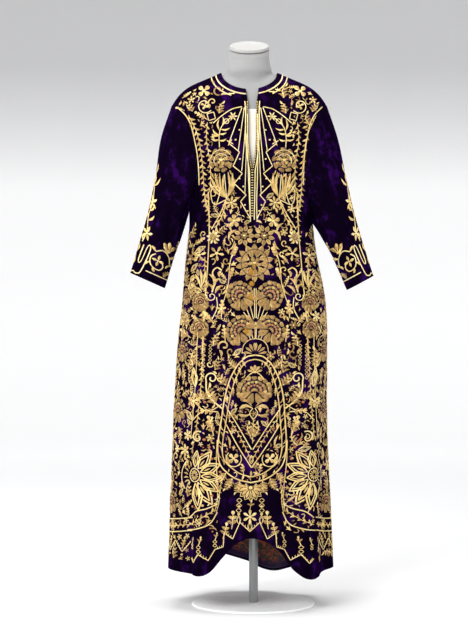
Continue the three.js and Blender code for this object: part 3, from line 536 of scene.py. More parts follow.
def front_places(side, i, s):
    """Angle and height of the front half's places: row i from 0 at the hem to 21 at the
    shoulder, and share s across from the centre seam to the side."""
    sign = -1 if side == "left" else 1

    def across(share, z):
        return mix(theta_at(slit_edge(sign, z), z), seam_theta(side, z), share)

    slit_top = neck_edge(slit_alpha(sign, NECKBAND_WIDTH), NECKBAND_WIDTH)[1]

    def top(s):
        turned_by = np.minimum(s / NECK_SHARE, 1)
        alpha = mix(slit_alpha(sign, NECKBAND_WIDTH), sign * PI / 2, turned_by)
        share = np.maximum((s - NECK_SHARE) / (1 - NECK_SHARE), 0)
        return np.where(s > NECK_SHARE, shoulder_line(sign, share), neck_line(alpha))

    def bottom(s):
        return notch_place(across(spread_share(s, NECK_SHARE, FRONT_SPREAD, PANEL_ROWS), NOTCH_Z))

    def start(t):
        z = mix(NOTCH_Z, slit_top, t)
        return np.stack([slit_edge(sign, z), z])

    i, s = np.broadcast_arrays(i, s)
    t = np.clip(yoke_share(np.maximum(i, NOTCH_ROW)), 0, 1)
    x, z_high = filled_patch(bottom, top, start, lambda t: armhole(side, "front", t), s, t)
    theta, z = lower_place(across, spread_share(s, NECK_SHARE, FRONT_SPREAD, i), i)
    high = i > NOTCH_ROW
    return np.where(high, theta_at(x, z_high), theta), np.where(high, z_high, z)


def back_places(i, s):
    """The same for the back piece, whose share s goes from the left side to the right."""

    def across(share, z):
        return mix(-PI - seam_theta("left", z), -PI - seam_theta("right", z), share)

    def top(s):
        alpha = mix(-PI / 2, -1.5 * PI, np.clip((s - BACK_SHARE) / (1 - 2 * BACK_SHARE), 0, 1))
        left = shoulder_line(-1, np.clip(1 - s / BACK_SHARE, 0, 1))
        right = shoulder_line(1, np.clip((s - 1 + BACK_SHARE) / BACK_SHARE, 0, 1))
        sides = np.where(s < 0.5, left, right)
        return np.where(np.minimum(s, 1 - s) < BACK_SHARE, sides, neck_line(alpha))

    def bottom(s):
        return notch_place(across(spread_both(s, BACK_SHARE, BACK_SPREAD, PANEL_ROWS), NOTCH_Z))

    i, s = np.broadcast_arrays(i, s)
    t = np.clip(yoke_share(np.maximum(i, NOTCH_ROW)), 0, 1)
    left, right = (lambda t: armhole("left", "back", t)), (lambda t: armhole("right", "back", t))
    x, z_high = filled_patch(bottom, top, left, right, s, t)
    theta, z = lower_place(across, spread_both(s, BACK_SHARE, BACK_SPREAD, i), i)
    high = i > NOTCH_ROW
    return np.where(high, theta_at(x, z_high, True), theta), np.where(high, z_high, z)


def side_theta(side, s, z):
    seam = seam_theta(side, z)
    return mix(seam, np.sign(seam) * PI - seam, s)


def gore_point(s):
    return mix(GORE_Z, UNDERARM_POINT, np.sin(PI * s))


def gusset_places(side, i, s):
    armpit = mix(NOTCH_Z, UNDERARM_BOTTOM[side], np.sin(PI * s))
    z = mix(gore_point(s), armpit, i / GUSSET_STEPS)
    return side_theta(side, s, z), z


def gore_places(side, i, s):
    rough = mix(hem_z(side_theta(side, s, GORE_Z)), gore_point(s), i / SKIRT_STEPS)
    z = mix(hem_z(side_theta(side, s, rough)), gore_point(s), i / SKIRT_STEPS)
    return side_theta(side, s, z), z


def steps(*parts):
    """Row numbers from parts (first, last, count), each starting where the last ended."""
    rows = [np.linspace(a, b, n, endpoint=False) for a, b, n in parts]
    return np.concatenate(rows + [[parts[-1][1]]])


def eased(count):
    """Shares from 0 to 1 that lie closer together at both ends."""
    t = np.linspace(0, 1, count + 1)
    return mix(t, (1 - np.cos(PI * t)) / 2, 0.6)


def edge_length(points, axis, from_end):
    """Length along the rows or columns of a grid, from its start or its end."""
    length = np.linalg.norm(np.diff(points, axis=axis), axis=-1)
    if from_end:
        length = np.flip(length, axis)
    total = np.insert(np.cumsum(length, axis=axis), 0, 0, axis=axis)
    return np.flip(total, axis) if from_end else total


def panel(name, theta, z, seams):
    """A cloth piece on the body: its wall is laid inwards, its sewn edges are drawn in by
    half a seam gap, and the cloth dips along them as a bell of the distance."""
    points, normals = body_point(theta, z), body_normal(theta, z)
    sides = {"bottom": (0, 0, 1), "top": (0, -1, -2), "start": (1, 0, 1), "end": (1, -1, -2)}
    dip = np.zeros(theta.shape)
    for key in seams:
        axis, edge, _ = sides[key]
        away = edge_length(points, axis, edge == -1)
        dip = np.maximum(dip, SEAM_DIP * np.exp(-((away / SEAM_REACH) ** 2)))
    for key in seams:
        axis, edge, following = sides[key]
        grid = np.moveaxis(points, axis, 0)
        grid[edge] += unit(grid[following] - grid[edge]) * SEAM_GAP / 2
    outer = points - normals * dip[..., None]
    lined = np.clip((z - hem_z(theta) - HEM_FACING) / FACING_FADE, 0, 1) + 0 * dip
    return wall(name, outer, outer - normals * WALL, lined=lined)


# ---- Sleeves ----------------------------------------------------------------------------
SEAM_DETAIL, UNDERARM_STEPS = 5, 8
# Shares of the sleeve's length: where its folds have grown, and how far from the cuff
# they start to fade; and the share that they lose at the cuff.
FOLDS_GROWN, FOLDS_FADE, FOLDS_LOST = 0.14, 0.1, 0.75
# At the armhole the wall's two faces meet the body's on a mitre, over a few rows.
MITRE_ROWS, MITRE_LIMIT = 6, 4


def armhole_seam(side):
    """The seam from the shoulder down the front, under the arm and up the back."""
    n = SEAM_DETAIL
    down = np.linspace(PANEL_ROWS, NOTCH_ROW, YOKE_STEPS * n + 1)
    under = np.linspace(0, 1, UNDERARM_STEPS * n + 1)[1:-1]
    front = front_places(side, down, np.ones(1))
    gusset = gusset_places(side, np.full(1, GUSSET_STEPS), under)
    back = back_places(down[:0:-1], np.full(1, 0.0 if side == "left" else 1.0))
    theta = np.concatenate([front[0], gusset[0], back[0]])
    z = np.concatenate([front[1], gusset[1], back[1]])
    return body_point(theta, z), body_normal(theta, z)


def sleeve_point(side, angle, t):
    """A point of the sleeve's ovals: x and z from the inner edge to the outer by
    (1 + cos angle) / 2, and y by -deep sin angle."""
    rows = SLEEVE_ROWS[side]
    outer_x, outer_z, inner_x, inner_z, deep = (
        column(rows, "at", k, t) for k in ("outer_x", "outer_z", "inner_x", "inner_z", "deep")
    )
    share = (1 + np.cos(angle)) / 2
    x, z = mix(inner_x, outer_x, share), mix(inner_z, outer_z, share)
    return np.stack([x, -deep * np.sin(angle), z], -1)


def seam_angles(points):
    """Angles round the sleeve by length along the seam: half to the lowest point."""
    length = np.linalg.norm(np.roll(points, -1, 0) - points, axis=-1)
    half = (YOKE_STEPS + UNDERARM_STEPS // 2) * SEAM_DETAIL
    total = np.concatenate([[0], np.cumsum(length)])
    k = np.arange(len(points))
    back = PI + PI * (total[k] - total[half]) / (total[-1] - total[half])
    return np.where(k <= half, PI * total[k] / total[half], back)


def sleeve_middle(side, angle, t):
    """The middle between the sleeve's outer and inner lines."""
    return (sleeve_point(side, 0 * angle, t) + sleeve_point(side, 0 * angle + PI, t)) / 2


def sleeve_surface(side, angle, t):
    """The sleeve at angles and shares along it: even ovals, blended from the armhole's
    seam over its first half, with the folds along the outward direction."""
    seam, _ = armhole_seam(side)
    known = seam_angles(seam)
    turns = np.concatenate([known, [2 * PI]])
    closed = np.concatenate([seam, seam[:1]])
    start = np.stack([np.interp(angle % (2 * PI), turns, closed[:, k]) for k in range(3)], -1)
    held = (1 - smooth(t / SLEEVE_BLEND))[..., None]
    away = start - sleeve_point(side, angle, 0 * t)
    base = sleeve_point(side, angle, t) + away * held
    outward = unit(base - sleeve_middle(side, angle, t))
    degrees = np.rad2deg(angle)
    out = np.zeros(angle.shape)
    depth = bpy.context.scene.bindalli_cloth.crease_depth
    for at, along, wide, tall, lean, high in zip(*SLEEVE_CREASES.values()):
        centre = at + lean * (t - along) / tall
        bell = np.exp(-((turned(degrees - centre) / wide) ** 2) - ((t - along) / tall) ** 2)
        out = out + depth * high * bell
    calmed = FOLDS_LOST * smooth((t - CUFF_FROM + FOLDS_FADE) / FOLDS_FADE)
    shown = smooth(t / FOLDS_GROWN) * (1 - calmed)
    return base + outward * (out * shown)[..., None]


def sleeve_normal(side, angle, t):
    """The outward normal, from differences round the sleeve and along it."""
    step = 0.004
    around = sleeve_surface(side, angle + step, t) - sleeve_surface(side, angle - step, t)
    lower = sleeve_surface(side, angle, np.minimum(t + step, 1))
    normal = unit(np.cross(around, lower - sleeve_surface(side, angle, np.maximum(t - step, 0))))
    away = sleeve_surface(side, angle, t) - sleeve_middle(side, angle, t)
    return np.where(np.sum(normal * away, -1, keepdims=True) < 0, -normal, normal)


def sleeve_tube(name, side, t, start_gap, end_gap, mitred):
    """A stretch of the sleeve at shares t, drawn in by a gap at each end."""
    seam, body = armhole_seam(side)
    angle, t = np.broadcast_arrays(seam_angles(seam)[None], t[:, None])
    outer, normals = sleeve_surface(side, angle, t), sleeve_normal(side, angle, t)
    through = -WALL * normals
    if mitred:
        between = -unit(body + normals[0])
        slant = np.maximum(-np.sum(between * body, -1, keepdims=True), 0.01)
        shared = between * np.minimum(WALL / slant, MITRE_LIMIT)
        rows = np.arange(MITRE_ROWS)[:, None, None] / MITRE_ROWS
        through[:MITRE_ROWS] = mix(shared[None], through[:MITRE_ROWS], rows)
    outer[0] += unit(outer[1] - outer[0]) * start_gap
    outer[-1] += unit(outer[-2] - outer[-1]) * end_gap
    return wall(name, outer, outer + through, True)


# ---- Materials --------------------------------------------------------------------------
class Finish:
    """A new material and a short way to add its nodes."""

    def __init__(self, name):
        self.material = bpy.data.materials.new(name)
        self.material.use_nodes = True
        self.tree = self.material.node_tree
        self.tree.nodes.clear()
        self.surface = self.add("BsdfPrincipled")
        output = self.add("OutputMaterial")
        self.tree.links.new(self.surface.outputs[0], output.inputs[0])
        self.place = self.add("TexCoord").outputs["Object"]

    def add(self, kind, settings=None, **inputs):
        """A node with its settings, and its inputs as values or as links to sockets."""
        node = self.tree.nodes.new("ShaderNode" + kind)
        for key, value in (settings or {}).items():
            setattr(node, key, value)
        self.feed(node, **inputs)
        return node

    def put(self, socket, value):
        """Links a socket to another one, or gives it a value."""
        if isinstance(value, bpy.types.NodeSocket):
            self.tree.links.new(value, socket)
        else:
            socket.default_value = value

    def feed(self, node, **inputs):
        for key, value in inputs.items():
            self.put(node.inputs[key.replace("_", " ")], value)

    def attribute(self, name, output="Fac"):
        return self.add("Attribute", {"attribute_name": name}).outputs[output]

    def noise(self, scale, detail=2.0, roughness=0.5, vector=None):
        vector = vector or self.place
        node = self.add("TexNoise", Vector=vector, Scale=scale, Detail=detail, Roughness=roughness)
        return node.outputs["Fac"]

    def ramp(self, fac, *stops):
        """A colour ramp through stops of (place, colour)."""
        node = self.add("ValToRGB", Fac=fac)
        elements = node.color_ramp.elements
        while len(elements) < len(stops):
            elements.new(0.5)
        for element, (place, colour) in zip(elements, stops):
            element.position = place
            element.color = (*colour, 1)
        return node.outputs["Color"]

    def blend(self, fac, a, b, kind="MIX"):
        node = self.add("Mix", {"data_type": "RGBA", "blend_type": kind})
        for socket, value in ((0, fac), (6, a), (7, b)):
            self.put(node.inputs[socket], value)
        return node.outputs[2]

    def maths(self, kind, *values):
        node = self.add("Math", {"operation": kind})
        for socket, value in zip(node.inputs, values):
            self.put(socket, value)
        return node.outputs[0]

    def bump(self, height, distance, strength=1.0, under=None):
        node = self.add("Bump", Height=height, Distance=distance, Strength=strength)
        if under:
            self.feed(node, Normal=under)
        return node.outputs["Normal"]

    def stretched(self, x, y, z):
        """Object coordinates scaled by direction, for grain that runs one way."""
        return self.add("Mapping", Vector=self.place, Scale=(x, y, z)).outputs["Vector"]


def colour(value):
    return tuple(value)[:3]


def dimmed(tint, share):
    return tuple(min(c * share, 1) for c in tint)


def velvet(name, settings, dark=1.0):
    """Cut pile: a dark ground, a nap that lies unevenly in soft patches, a fine tuft, and a violet
    sheen. The lightest patches and streaks are partly painted sheen, mixed towards the sheen
    colour in the base colour. The inner face shows the printed lining."""
    f = Finish(name)
    patches = f.noise(44, 5, 0.62)
    streaks = f.noise(1.0, 4, 0.6, f.stretched(26, 26, 9))
    nap = f.maths("MULTIPLY_ADD", f.maths("ADD", patches, streaks), 1.2, -0.7)
    deep, light = colour(settings.velvet_deep), colour(settings.velvet_light)
    # Painted sheen: the ramp's top stop goes part of the way to the sheen colour. The lower stops
    # are the nap's uneven tone.
    ground = f.ramp(
        nap,
        (0.15, dimmed(deep, 0.7 * dark)),
        (0.55, dimmed(deep, dark)),
        (1.0, dimmed([mix(a, b, 0.42) for a, b in zip(deep, light)], dark)),
    )
    base = f.blend(f.attribute("inside"), ground, lining_print(f))
    tuft = f.noise(1400, 1)
    rough = f.bump(nap, 0.0010, 0.3, f.bump(tuft, 0.0004, 0.5))
    f.feed(f.surface, Base_Color=base, Roughness=0.82, Normal=rough)
    f.feed(f.surface, Sheen_Weight=0.2, Sheen_Roughness=0.3, Sheen_Tint=(*light, 1))
    f.feed(f.surface, Specular_IOR_Level=0.0)
    return f.material


def lining_print(f):
    """A scrolling print: bands between the levels of a bent cell pattern, with small
    leaves between them, in rust on dark olive."""
    bend = f.add("TexNoise", Vector=f.place, Scale=26.0, Detail=1.0).outputs["Color"]
    place = f.add("MixRGB", Fac=0.02, Color1=f.place, Color2=bend).outputs[0]
    cells = f.add("TexVoronoi", {"feature": "SMOOTH_F1"}, Vector=place, Scale=58.0).outputs[0]
    rings = f.maths("PINGPONG", cells, 0.15)
    leaves = f.add("TexVoronoi", {"feature": "F1"}, Vector=place, Scale=150.0).outputs[0]
    scroll = f.ramp(rings, (0.03, (0.30, 0.062, 0.018)), (0.075, (0.038, 0.036, 0.030)))
    leaf = f.ramp(leaves, (0.25, (0.20, 0.045, 0.016)), (0.38, (0.034, 0.034, 0.030)))
    return f.blend(1.0, scroll, leaf, "LIGHTEN")


def lining(name):
    f = Finish(name)
    weave = f.add("TexWave", {"bands_direction": "DIAGONAL"}, Vector=f.place, Scale=420.0)
    normal = f.bump(weave.outputs["Fac"], 0.0002, 0.4)
    hem = f.attribute("hem")
    plain = f.ramp(f.noise(40), (0.3, (0.012, 0.002, 0.030)), (0.8, (0.022, 0.004, 0.055)))
    f.feed(f.surface, Base_Color=f.blend(hem, lining_print(f), plain), Normal=normal)
    f.feed(f.surface, Roughness=0.78, Specular_IOR_Level=0.2, Sheen_Weight=0.15)
    return f.material


# Breadth of one laid thread of metal and of one strand of silk, in metres.
METAL_PITCH, SILK_PITCH = 0.0007, 0.0006


def metal_thread(name, settings):
    """Laid metal thread over padding: fine parallel threads along each shape, brighter or duller
    by the attribute tone, with a little tarnish. Attribute thread holds the place along and across
    the shape in metres, and how near the rim of a broad shape it is; this paints a highlight along
    the rims and shade along the middle. The glint at the ramp's top is a painted highlight, and
    the valleys between threads get painted shade."""
    f = Finish(name)
    tone = f.attribute("tone")
    age = f.noise(55, 3, 0.6)
    thread = f.add("SeparateXYZ", Vector=f.attribute("thread", "Vector"))
    worn = f.maths("MULTIPLY_ADD", f.maths("SUBTRACT", age, 0.5), 0.5, tone)
    # Painted highlight and shade: the rim share lifts the edges of broad shapes and lowers their
    # middle.
    shade = f.maths("MULTIPLY_ADD", thread.outputs["Z"], 0.9, worn)
    bright, antique = colour(settings.gold_bright), colour(settings.gold_antique)
    glint = colour(settings.gold_glint)
    dull = dimmed(antique, 0.45)
    # Painted highlight: the brightest shades turn to the glint colour.
    metal = f.ramp(shade, (0.15, dull), (0.45, antique), (0.70, bright), (0.90, glint))
    ridges = f.maths("SINE", f.maths("MULTIPLY", thread.outputs["X"], 2 * PI / METAL_PITCH))
    risen = f.maths("MULTIPLY_ADD", ridges, 0.5, 0.5)
    # Painted shade: in the valleys between threads the metal colour is darkened.
    gap = f.ramp(risen, (0.0, (0.55, 0.5, 0.5)), (0.35, (1, 1, 1)))
    f.feed(f.surface, Base_Color=f.blend(0.6, metal, f.blend(1.0, metal, gap, "MULTIPLY")))
    f.feed(f.surface, Normal=f.bump(ridges, 0.00025, 0.55, f.bump(age, 0.0008, 0.3)))
    f.feed(f.surface, Metallic=0.55, Roughness=0.42)
    return f.material


def silk(name, tint):
    """Couched silk in one colour, paler and darker along its strands."""
    f = Finish(name)
    thread = f.add("SeparateXYZ", Vector=f.attribute("thread", "Vector"))
    ridges = f.maths("SINE", f.maths("MULTIPLY", thread.outputs["Y"], 2 * PI / SILK_PITCH))
    shade = f.maths("ADD", f.attribute("tone"), f.maths("MULTIPLY", f.noise(70, 3), 0.4))
    base = f.ramp(shade, (0.25, dimmed(tint, 0.65)), (1.0, tint))
    f.feed(f.surface, Base_Color=base, Normal=f.bump(ridges, 0.0002, 0.4))
    f.feed(f.surface, Roughness=0.6, Specular_IOR_Level=0.15)
    return f.material


def padded_form(name, tint, weave_scale, rough):
    """Jersey or cotton stretched over padding: soft mottling and a fine knit."""
    f = Finish(name)
    mottle = f.noise(9, 3)
    knit = f.add("TexWave", {"wave_profile": "SIN"}, Vector=f.place, Scale=weave_scale)
    f.feed(knit, Distortion=1.5, Detail=2.0)
    normal = f.bump(knit.outputs["Fac"], 0.0003, 0.25, f.bump(mottle, 0.003, 0.25))
    f.feed(f.surface, Roughness=rough, Normal=normal)
    f.feed(
        f.surface, Base_Color=f.ramp(mottle, (0.25, dimmed(tint, 0.93)), (0.8, dimmed(tint, 1.04)))
    )
    f.feed(f.surface, Sheen_Weight=0.1, Specular_IOR_Level=0.25)
    return f.material


def brushed(name, tint, metallic, rough, grain):
    """Satin metal or paint: fine grain along one direction and faint wear in patches."""
    f = Finish(name)
    lines = f.noise(1.0, 3, 0.6, f.stretched(*grain))
    wear = f.noise(22, 4, 0.6)
    mixed = f.maths("ADD", f.maths("MULTIPLY", lines, 0.6), f.maths("MULTIPLY", wear, 0.4))
    roughness = f.maths("MULTIPLY_ADD", mixed, 0.25, rough - 0.12)
    f.feed(f.surface, Base_Color=f.ramp(mixed, (0.3, dimmed(tint, 0.86)), (0.75, tint)))
    f.feed(f.surface, Metallic=metallic, Roughness=roughness)
    f.feed(f.surface, Normal=f.bump(lines, 0.0002, 0.2))
    return f.material


MATERIALS = {}


def material(name, make, *values):
    """The named material, made once."""
    if name not in MATERIALS:
        MATERIALS[name] = make(name, *values)
    return MATERIALS[name]


# ---- Embroidery: strokes ----------------------------------------------------------------
# The patterns are drawn on squared sheets, with columns to the right and rows downwards.
# A stroke is one laid shape: its centre line, its half-widths, its height in millimetres,
# its tone and its thread.
SPINE = 5
PROFILES = {
    "leaf": (0.12, 0.82, 1.00, 0.70, 0.05),
    "petal": (0.32, 0.74, 1.00, 0.94, 0.24),
    "fan": (0.22, 0.56, 0.86, 1.00, 0.60),
    "drop": (0.12, 0.46, 0.84, 1.00, 0.30),
    "cord": (1.0, 1.0, 1.0, 1.0, 1.0),
    "taper": (1.0, 0.90, 0.70, 0.42, 0.08),
    "knot": (0.45, 0.90, 1.00, 0.90, 0.45),
}
HEIGHTS = {
    "leaf": 1.1, "petal": 1.3, "fan": 1.5, "drop": 1.2, "cord": 0.9, "taper": 0.9, "knot": 1.4
}


def resampled(points, count):
    """Points at even lengths along a smooth curve through the given ones: each span is a
    cubic whose slopes join the neighbouring points."""
    p = np.array(points, float)
    if len(p) > 2:
        padded = np.concatenate([[2 * p[0] - p[1]], p, [2 * p[-1] - p[-2]]])
        slopes = (padded[2:] - padded[:-2]) / 2
        t = np.linspace(0, 1, 9)[:-1, None]
        h = (1 + 2 * t) * (1 - t) ** 2, t * (1 - t) ** 2, t * t * (3 - 2 * t), t * t * (t - 1)
        spans = [h[0] * a + h[1] * u + h[2] * b + h[3] * v
                 for a, b, u, v in zip(p, p[1:], slopes, slopes[1:])]
        p = np.concatenate([*spans, p[-1:]])
    length = np.insert(np.cumsum(np.linalg.norm(np.diff(p, axis=0), axis=1)), 0, 0)
    at = np.linspace(0, length[-1], count)
    return np.stack([np.interp(at, length, p[:, k]) for k in (0, 1)], -1), length[-1]


def leaf(a, b, wide, bow=0.0, shape="leaf", tone=0.6, thread="gold", high=None):
    """A shape from a to b whose middle is moved sideways by bow times its length."""
    a, b = np.array(a, float), np.array(b, float)
    side = np.array([-(b - a)[1], (b - a)[0]])
    line, _ = resampled([a, (a + b) / 2 + side * bow, b], SPINE)
    return [(line, wide / 2 * np.array(PROFILES[shape]), high or HEIGHTS[shape], tone, thread)]


# A length of piece that no line reaches, so that the line is laid in one.
WHOLE = 99


def cord(points, wide=0.9, tone=0.7, thread="gold", high=None, piece=8.0):
    """A long even line, laid in pieces that share their ends."""
    length = resampled(points, 2)[1]
    count = max(int(np.ceil(length / piece)), 1)
    line, _ = resampled(points, count * (SPINE - 1) + 1)
    half = wide / 2 * np.array(PROFILES["cord"])
    cuts = [line[k * (SPINE - 1) : (k + 1) * (SPINE - 1) + 1] for k in range(count)]
    return [(cut, half, high or HEIGHTS["cord"], tone, thread) for cut in cuts]


def turn(degrees):
    return np.array([np.cos(np.deg2rad(degrees)), np.sin(np.deg2rad(degrees))])


def arc(at, radius, start, end, wide=0.9, squash=1.0, **more):
    """Part of a ring; 0 degrees is to the right and 90 is down."""
    count = max(int(abs(end - start) / 30) + 2, 3)
    angle = np.deg2rad(np.linspace(start, end, count))
    ring_points = np.stack([np.cos(angle), squash * np.sin(angle)], -1) * radius
    return cord(np.array(at) + ring_points, wide, piece=radius, **more)


def spiral(at, radius, start, turns, wide=0.9, **more):
    """A line that winds inwards from its outer radius to a fifth of it."""
    t = np.linspace(0, 1, int(abs(turns) * 9) + 3)
    angle = np.deg2rad(start + 360 * turns * t)
    reach = (radius * mix(1, 0.2, t))[:, None]
    line = np.array(at) + np.stack([np.cos(angle), np.sin(angle)], -1) * reach
    return cord(line, wide, piece=0.7 * radius, **more)


def dot(at, radius=0.8, tone=0.75, thread="gold", high=None):
    at = np.array(at, float)
    return leaf(at - [radius, 0], at + [radius, 0], 2 * radius, 0, "knot", tone, thread, high)


def reshaped(strokes, change, wider=1.0):
    """The strokes with their centre lines put through a function, and widened."""
    return [(change(p), w * wider, *rest) for p, w, *rest in strokes]


def placed(strokes, at=(0, 0), size=1.0, angle=0.0, flip=False):
    """Strokes scaled, mirrored, turned clockwise by an angle in degrees and moved."""
    c, s = turn(angle)
    matrix = np.array([[c, s], [-s, c]]) * size
    if flip:
        matrix = np.diag([-1, 1]) @ matrix
    return reshaped(strokes, lambda p: p @ matrix + at, size)


def fanned(ways, near, far, wide, bow=0.0, shape="leaf", tone=0.6, step=0.0, **more):
    """Shapes laid outwards along directions in degrees, every other one brighter by step."""
    parts = []
    for k, way in enumerate(ways):
        out = turn(way)
        parts += leaf(out * near, out * far, wide, bow, shape, tone + step * (k % 2), **more)
    return parts


def all_round(count, start=-90):
    """Directions that share out a whole turn, from the one upwards."""
    return [start + 360 * k / count for k in range(count)]


def above(count, spread):
    """Directions that share out part of a turn, with its middle upwards."""
    return [-90 + spread * (k / (count - 1) - 0.5) for k in range(count)]


# ---- Embroidery: motifs about their own centre, upwards, mostly of unit size -------------
def flower(
    petals, wide=0.42, inner=0.22, start=-90, shape="petal", tone=0.62, knot=0.2, high=None
):
    """Petals all round a knot."""
    parts = fanned(all_round(petals, start), inner, 1, wide, 0, shape, tone, 0.1, high=high)
    return parts + dot((0, 0), knot, 0.85 if knot < 0.25 else 0.6, high=high)


def double_flower(petals, inner_petals):
    """An outer ring of pointed petals, a ring of shorter ones and five small ones inside."""
    parts = flower(petals, 0.34, 0.44, shape="leaf", tone=0.42, knot=0.05)
    # The dark silk rings and lines are painted shade between the rows of petals.
    for ring_radius in (0.70, 0.36):
        parts += arc((0, 0), ring_radius, 0, 360, 0.05, thread="dark", high=1.5)
    inner = flower(inner_petals, 0.38, 0.42, -72, "leaf", 0.50, knot=0.05, high=2.2)
    parts += placed(inner, size=0.68)
    parts += fanned(all_round(inner_petals, -72), 0.36, 0.62, 0.04, thread="dark", high=2.5)
    return parts + placed(flower(5, 0.62, 0.12, -45, tone=0.44, high=2.5), size=0.34)


def daisy(petals):
    """Pointed petals round a dull heart of small knots."""
    parts = flower(petals, 0.44, 0.36, shape="leaf", tone=0.50, knot=0.12)
    parts += arc((0, 0), 0.40, 0, 360, 0.05, thread="dark", high=1.6)
    for k in range(6):
        parts += dot(turn(60 * k) * 0.24, 0.11, 0.36 + 0.12 * (k % 2), high=1.6)
    return parts + fanned(all_round(petals), 0.5, 0.86, 0.05, thread="dark", high=1.5)


def peony(petals=12, reach=252):
    """A padded peony from the side: a scalloped rim, an arch of petals, a salmon arch, dark lines
    between them that are partly outline stitching and partly painted shade, a heart, and four base
    petals."""
    parts = []
    for count, spread, near, far, wide, tone, thread, high in (
        (petals, reach, 0.70, 1.0, 0.37, 0.36, "gold", 2.0),
        (10, 196, 0.48, 0.69, 0.26, 0.48, "gold", 2.4),
        (7, 170, 0.27, 0.45, 0.21, 0.44, "salmon", 2.7),
    ):
        for k, angle in enumerate(above(count, spread)):
            way, lift = turn(angle), [0, 0.06]
            end = way * (far + 0.03 * (k % 2)) + lift
            parts += leaf(
                way * near + lift, end, wide, 0, "fan", tone + 0.16 * (k % 2), thread, high
            )
    base = (32, 70, 108, 146)
    parts += fanned(base, 0.26, 0.98, 0.46, 0, "fan", 0.40, 0.1, high=2.3)
    parts += fanned(base, 0.5, 0.9, 0.04, thread="dark", high=2.6)
    for radius, thick, thread, high in (
        (0.72, 0.085, "dark", 2.6),
        (0.47, 0.085, "dark", 2.9),
        (0.405, 0.04, "copper", 3.0),
        (0.25, 0.08, "dark", 3.1),
    ):
        parts += arc((0, 0.06), radius, 172, 368, thick, thread=thread, high=high)
    parts += leaf((-0.2, 0.1), (0.2, 0.1), 0.24, -0.3, "knot", 0.50, high=2.9)
    return parts + arc((0, 0.26), 0.2, 195, 345, 0.05, 0.7, thread="dark", high=3.1)


def rose():
    """Rows of rounded petals round a small rose."""
    parts = []
    for count, near, far, wide, start, tone in (
        (9, 0.62, 1.0, 0.56, -90, 0.36),
        (7, 0.36, 0.7, 0.5, -70, 0.46),
        (5, 0.12, 0.44, 0.4, -90, 0.55),
    ):
        ways = all_round(count, start)
        parts += fanned(ways, near, far, wide, 0.12, "fan", tone, 0.08, high=2.6 - near)
    # The dark arcs are painted shade between the rows of petals.
    for radius, start, end, thread in (
        (0.90, 190, 330, "gold"),
        (0.66, 150, 350, "dark"),
        (0.60, 160, 330, "gold"),
        (0.36, 120, 400, "dark"),
        (0.62, 30, 130, "dark"),
    ):
        parts += arc((0, 0.08), radius, start, end, 0.07, tone=0.85, thread=thread, high=2.9)
    return parts + dot((0, 0), 0.14, 0.8, high=2.8)


def sprig(length=1.0, pairs=3, wide=0.2, spread=48, bend=0.1, bud=True):
    """A stem that rises with leaves in pairs and a bud at its tip."""
    stem_points = [(0, 0), (bend, -length * 0.5), (bend * 1.6, -length * 0.94)]
    parts = cord(stem_points, 0.07, 0.75, piece=WHOLE)
    line, _ = resampled(stem_points, pairs + 2)
    reach = length / (pairs + 1) * 1.05
    for k, point in enumerate(line[1:-1]):
        for sign in (-1, 1):
            end = point + turn(-90 + sign * spread) * reach * (1.15 - 0.12 * k)
            parts += leaf(point, end, wide * 0.62, -0.14 * sign, tone=0.5 + 0.1 * k)
    if bud:
        tip = np.array(stem_points[-1])
        parts += leaf(tip, tip + [0.02, -reach * 0.75], wide * 0.75, 0, "petal", 0.78)
    return parts


def acanthus(length=1.0, lobes=5, wide=0.2, curl=0.35):
    """A curved spine with lobes that shorten towards its tip, on both sides."""
    spine_points = [(0, 0), (curl * 0.25, -length * 0.5), (curl, -length)]
    line, _ = resampled(spine_points, lobes + 2)
    parts = leaf((0, 0), (curl, -length), 0.10, -0.16, "taper", 0.8)
    for k in range(lobes):
        point, onward = line[k], line[k + 1] - line[k]
        heading = np.rad2deg(np.arctan2(onward[1], onward[0]))
        reach = length * mix(0.44, 0.2, k / lobes)
        broad = 0.56 * wide * mix(1, 0.65, k / lobes)
        for sign in (-1, 1):
            end = point + turn(heading + sign * 52) * reach
            parts += leaf(point, end, broad, -0.2 * sign, tone=0.42 + 0.1 * (k % 3))
    return parts + leaf(line[-2], (curl * 1.25, -length * 1.06), wide * 0.42, 0.1, tone=0.75)


def palmette(petals=7, reach=170, wide=0.2, inner=0.25, loops=True):
    """Petals fanned upwards from a base, under an arch of short arcs."""
    ways = above(petals, reach)
    parts = fanned(ways, inner, 0.82, wide, 0, "drop", 0.6, 0.08)
    for way in map(turn, ways if loops else ()):
        foot, side = way * 0.72, way[::-1] * [-1, 1] * wide * 0.8
        parts += cord([foot - side, way, foot + side], 0.06, 0.7, piece=WHOLE)
    return parts + dot((0, -0.06), 0.13)


def pointed_loop(length=1.0, wide=0.4, filled=True):
    """Two bowed lines that meet in a point, one within the other, with a leaf inside."""
    parts = []
    for scale, thick in ((1.0, 0.07), (0.62, 0.05)):
        for sign in (-1, 1):
            base, tip = np.array([0, -0.04 * length]), np.array([0, -length * mix(0.55, 1, scale)])
            middle = (base + tip) / 2 + [sign * wide / 2 * scale, 0.04 * length]
            parts += cord([base, middle, tip], thick, 0.75, piece=WHOLE)
    if filled:
        parts += leaf((0, -0.20 * length), (0, -0.52 * length), wide * 0.17, tone=0.65)
    return parts


def scroll_ring(petals=4):
    """A ring that ends in a curl round a small flower."""
    parts = spiral((0, 0), 1.0, 60, 1.15, 0.13, tone=0.8)
    return parts + placed(flower(petals, 0.62, 0.2, -45, "fan"), size=0.5)


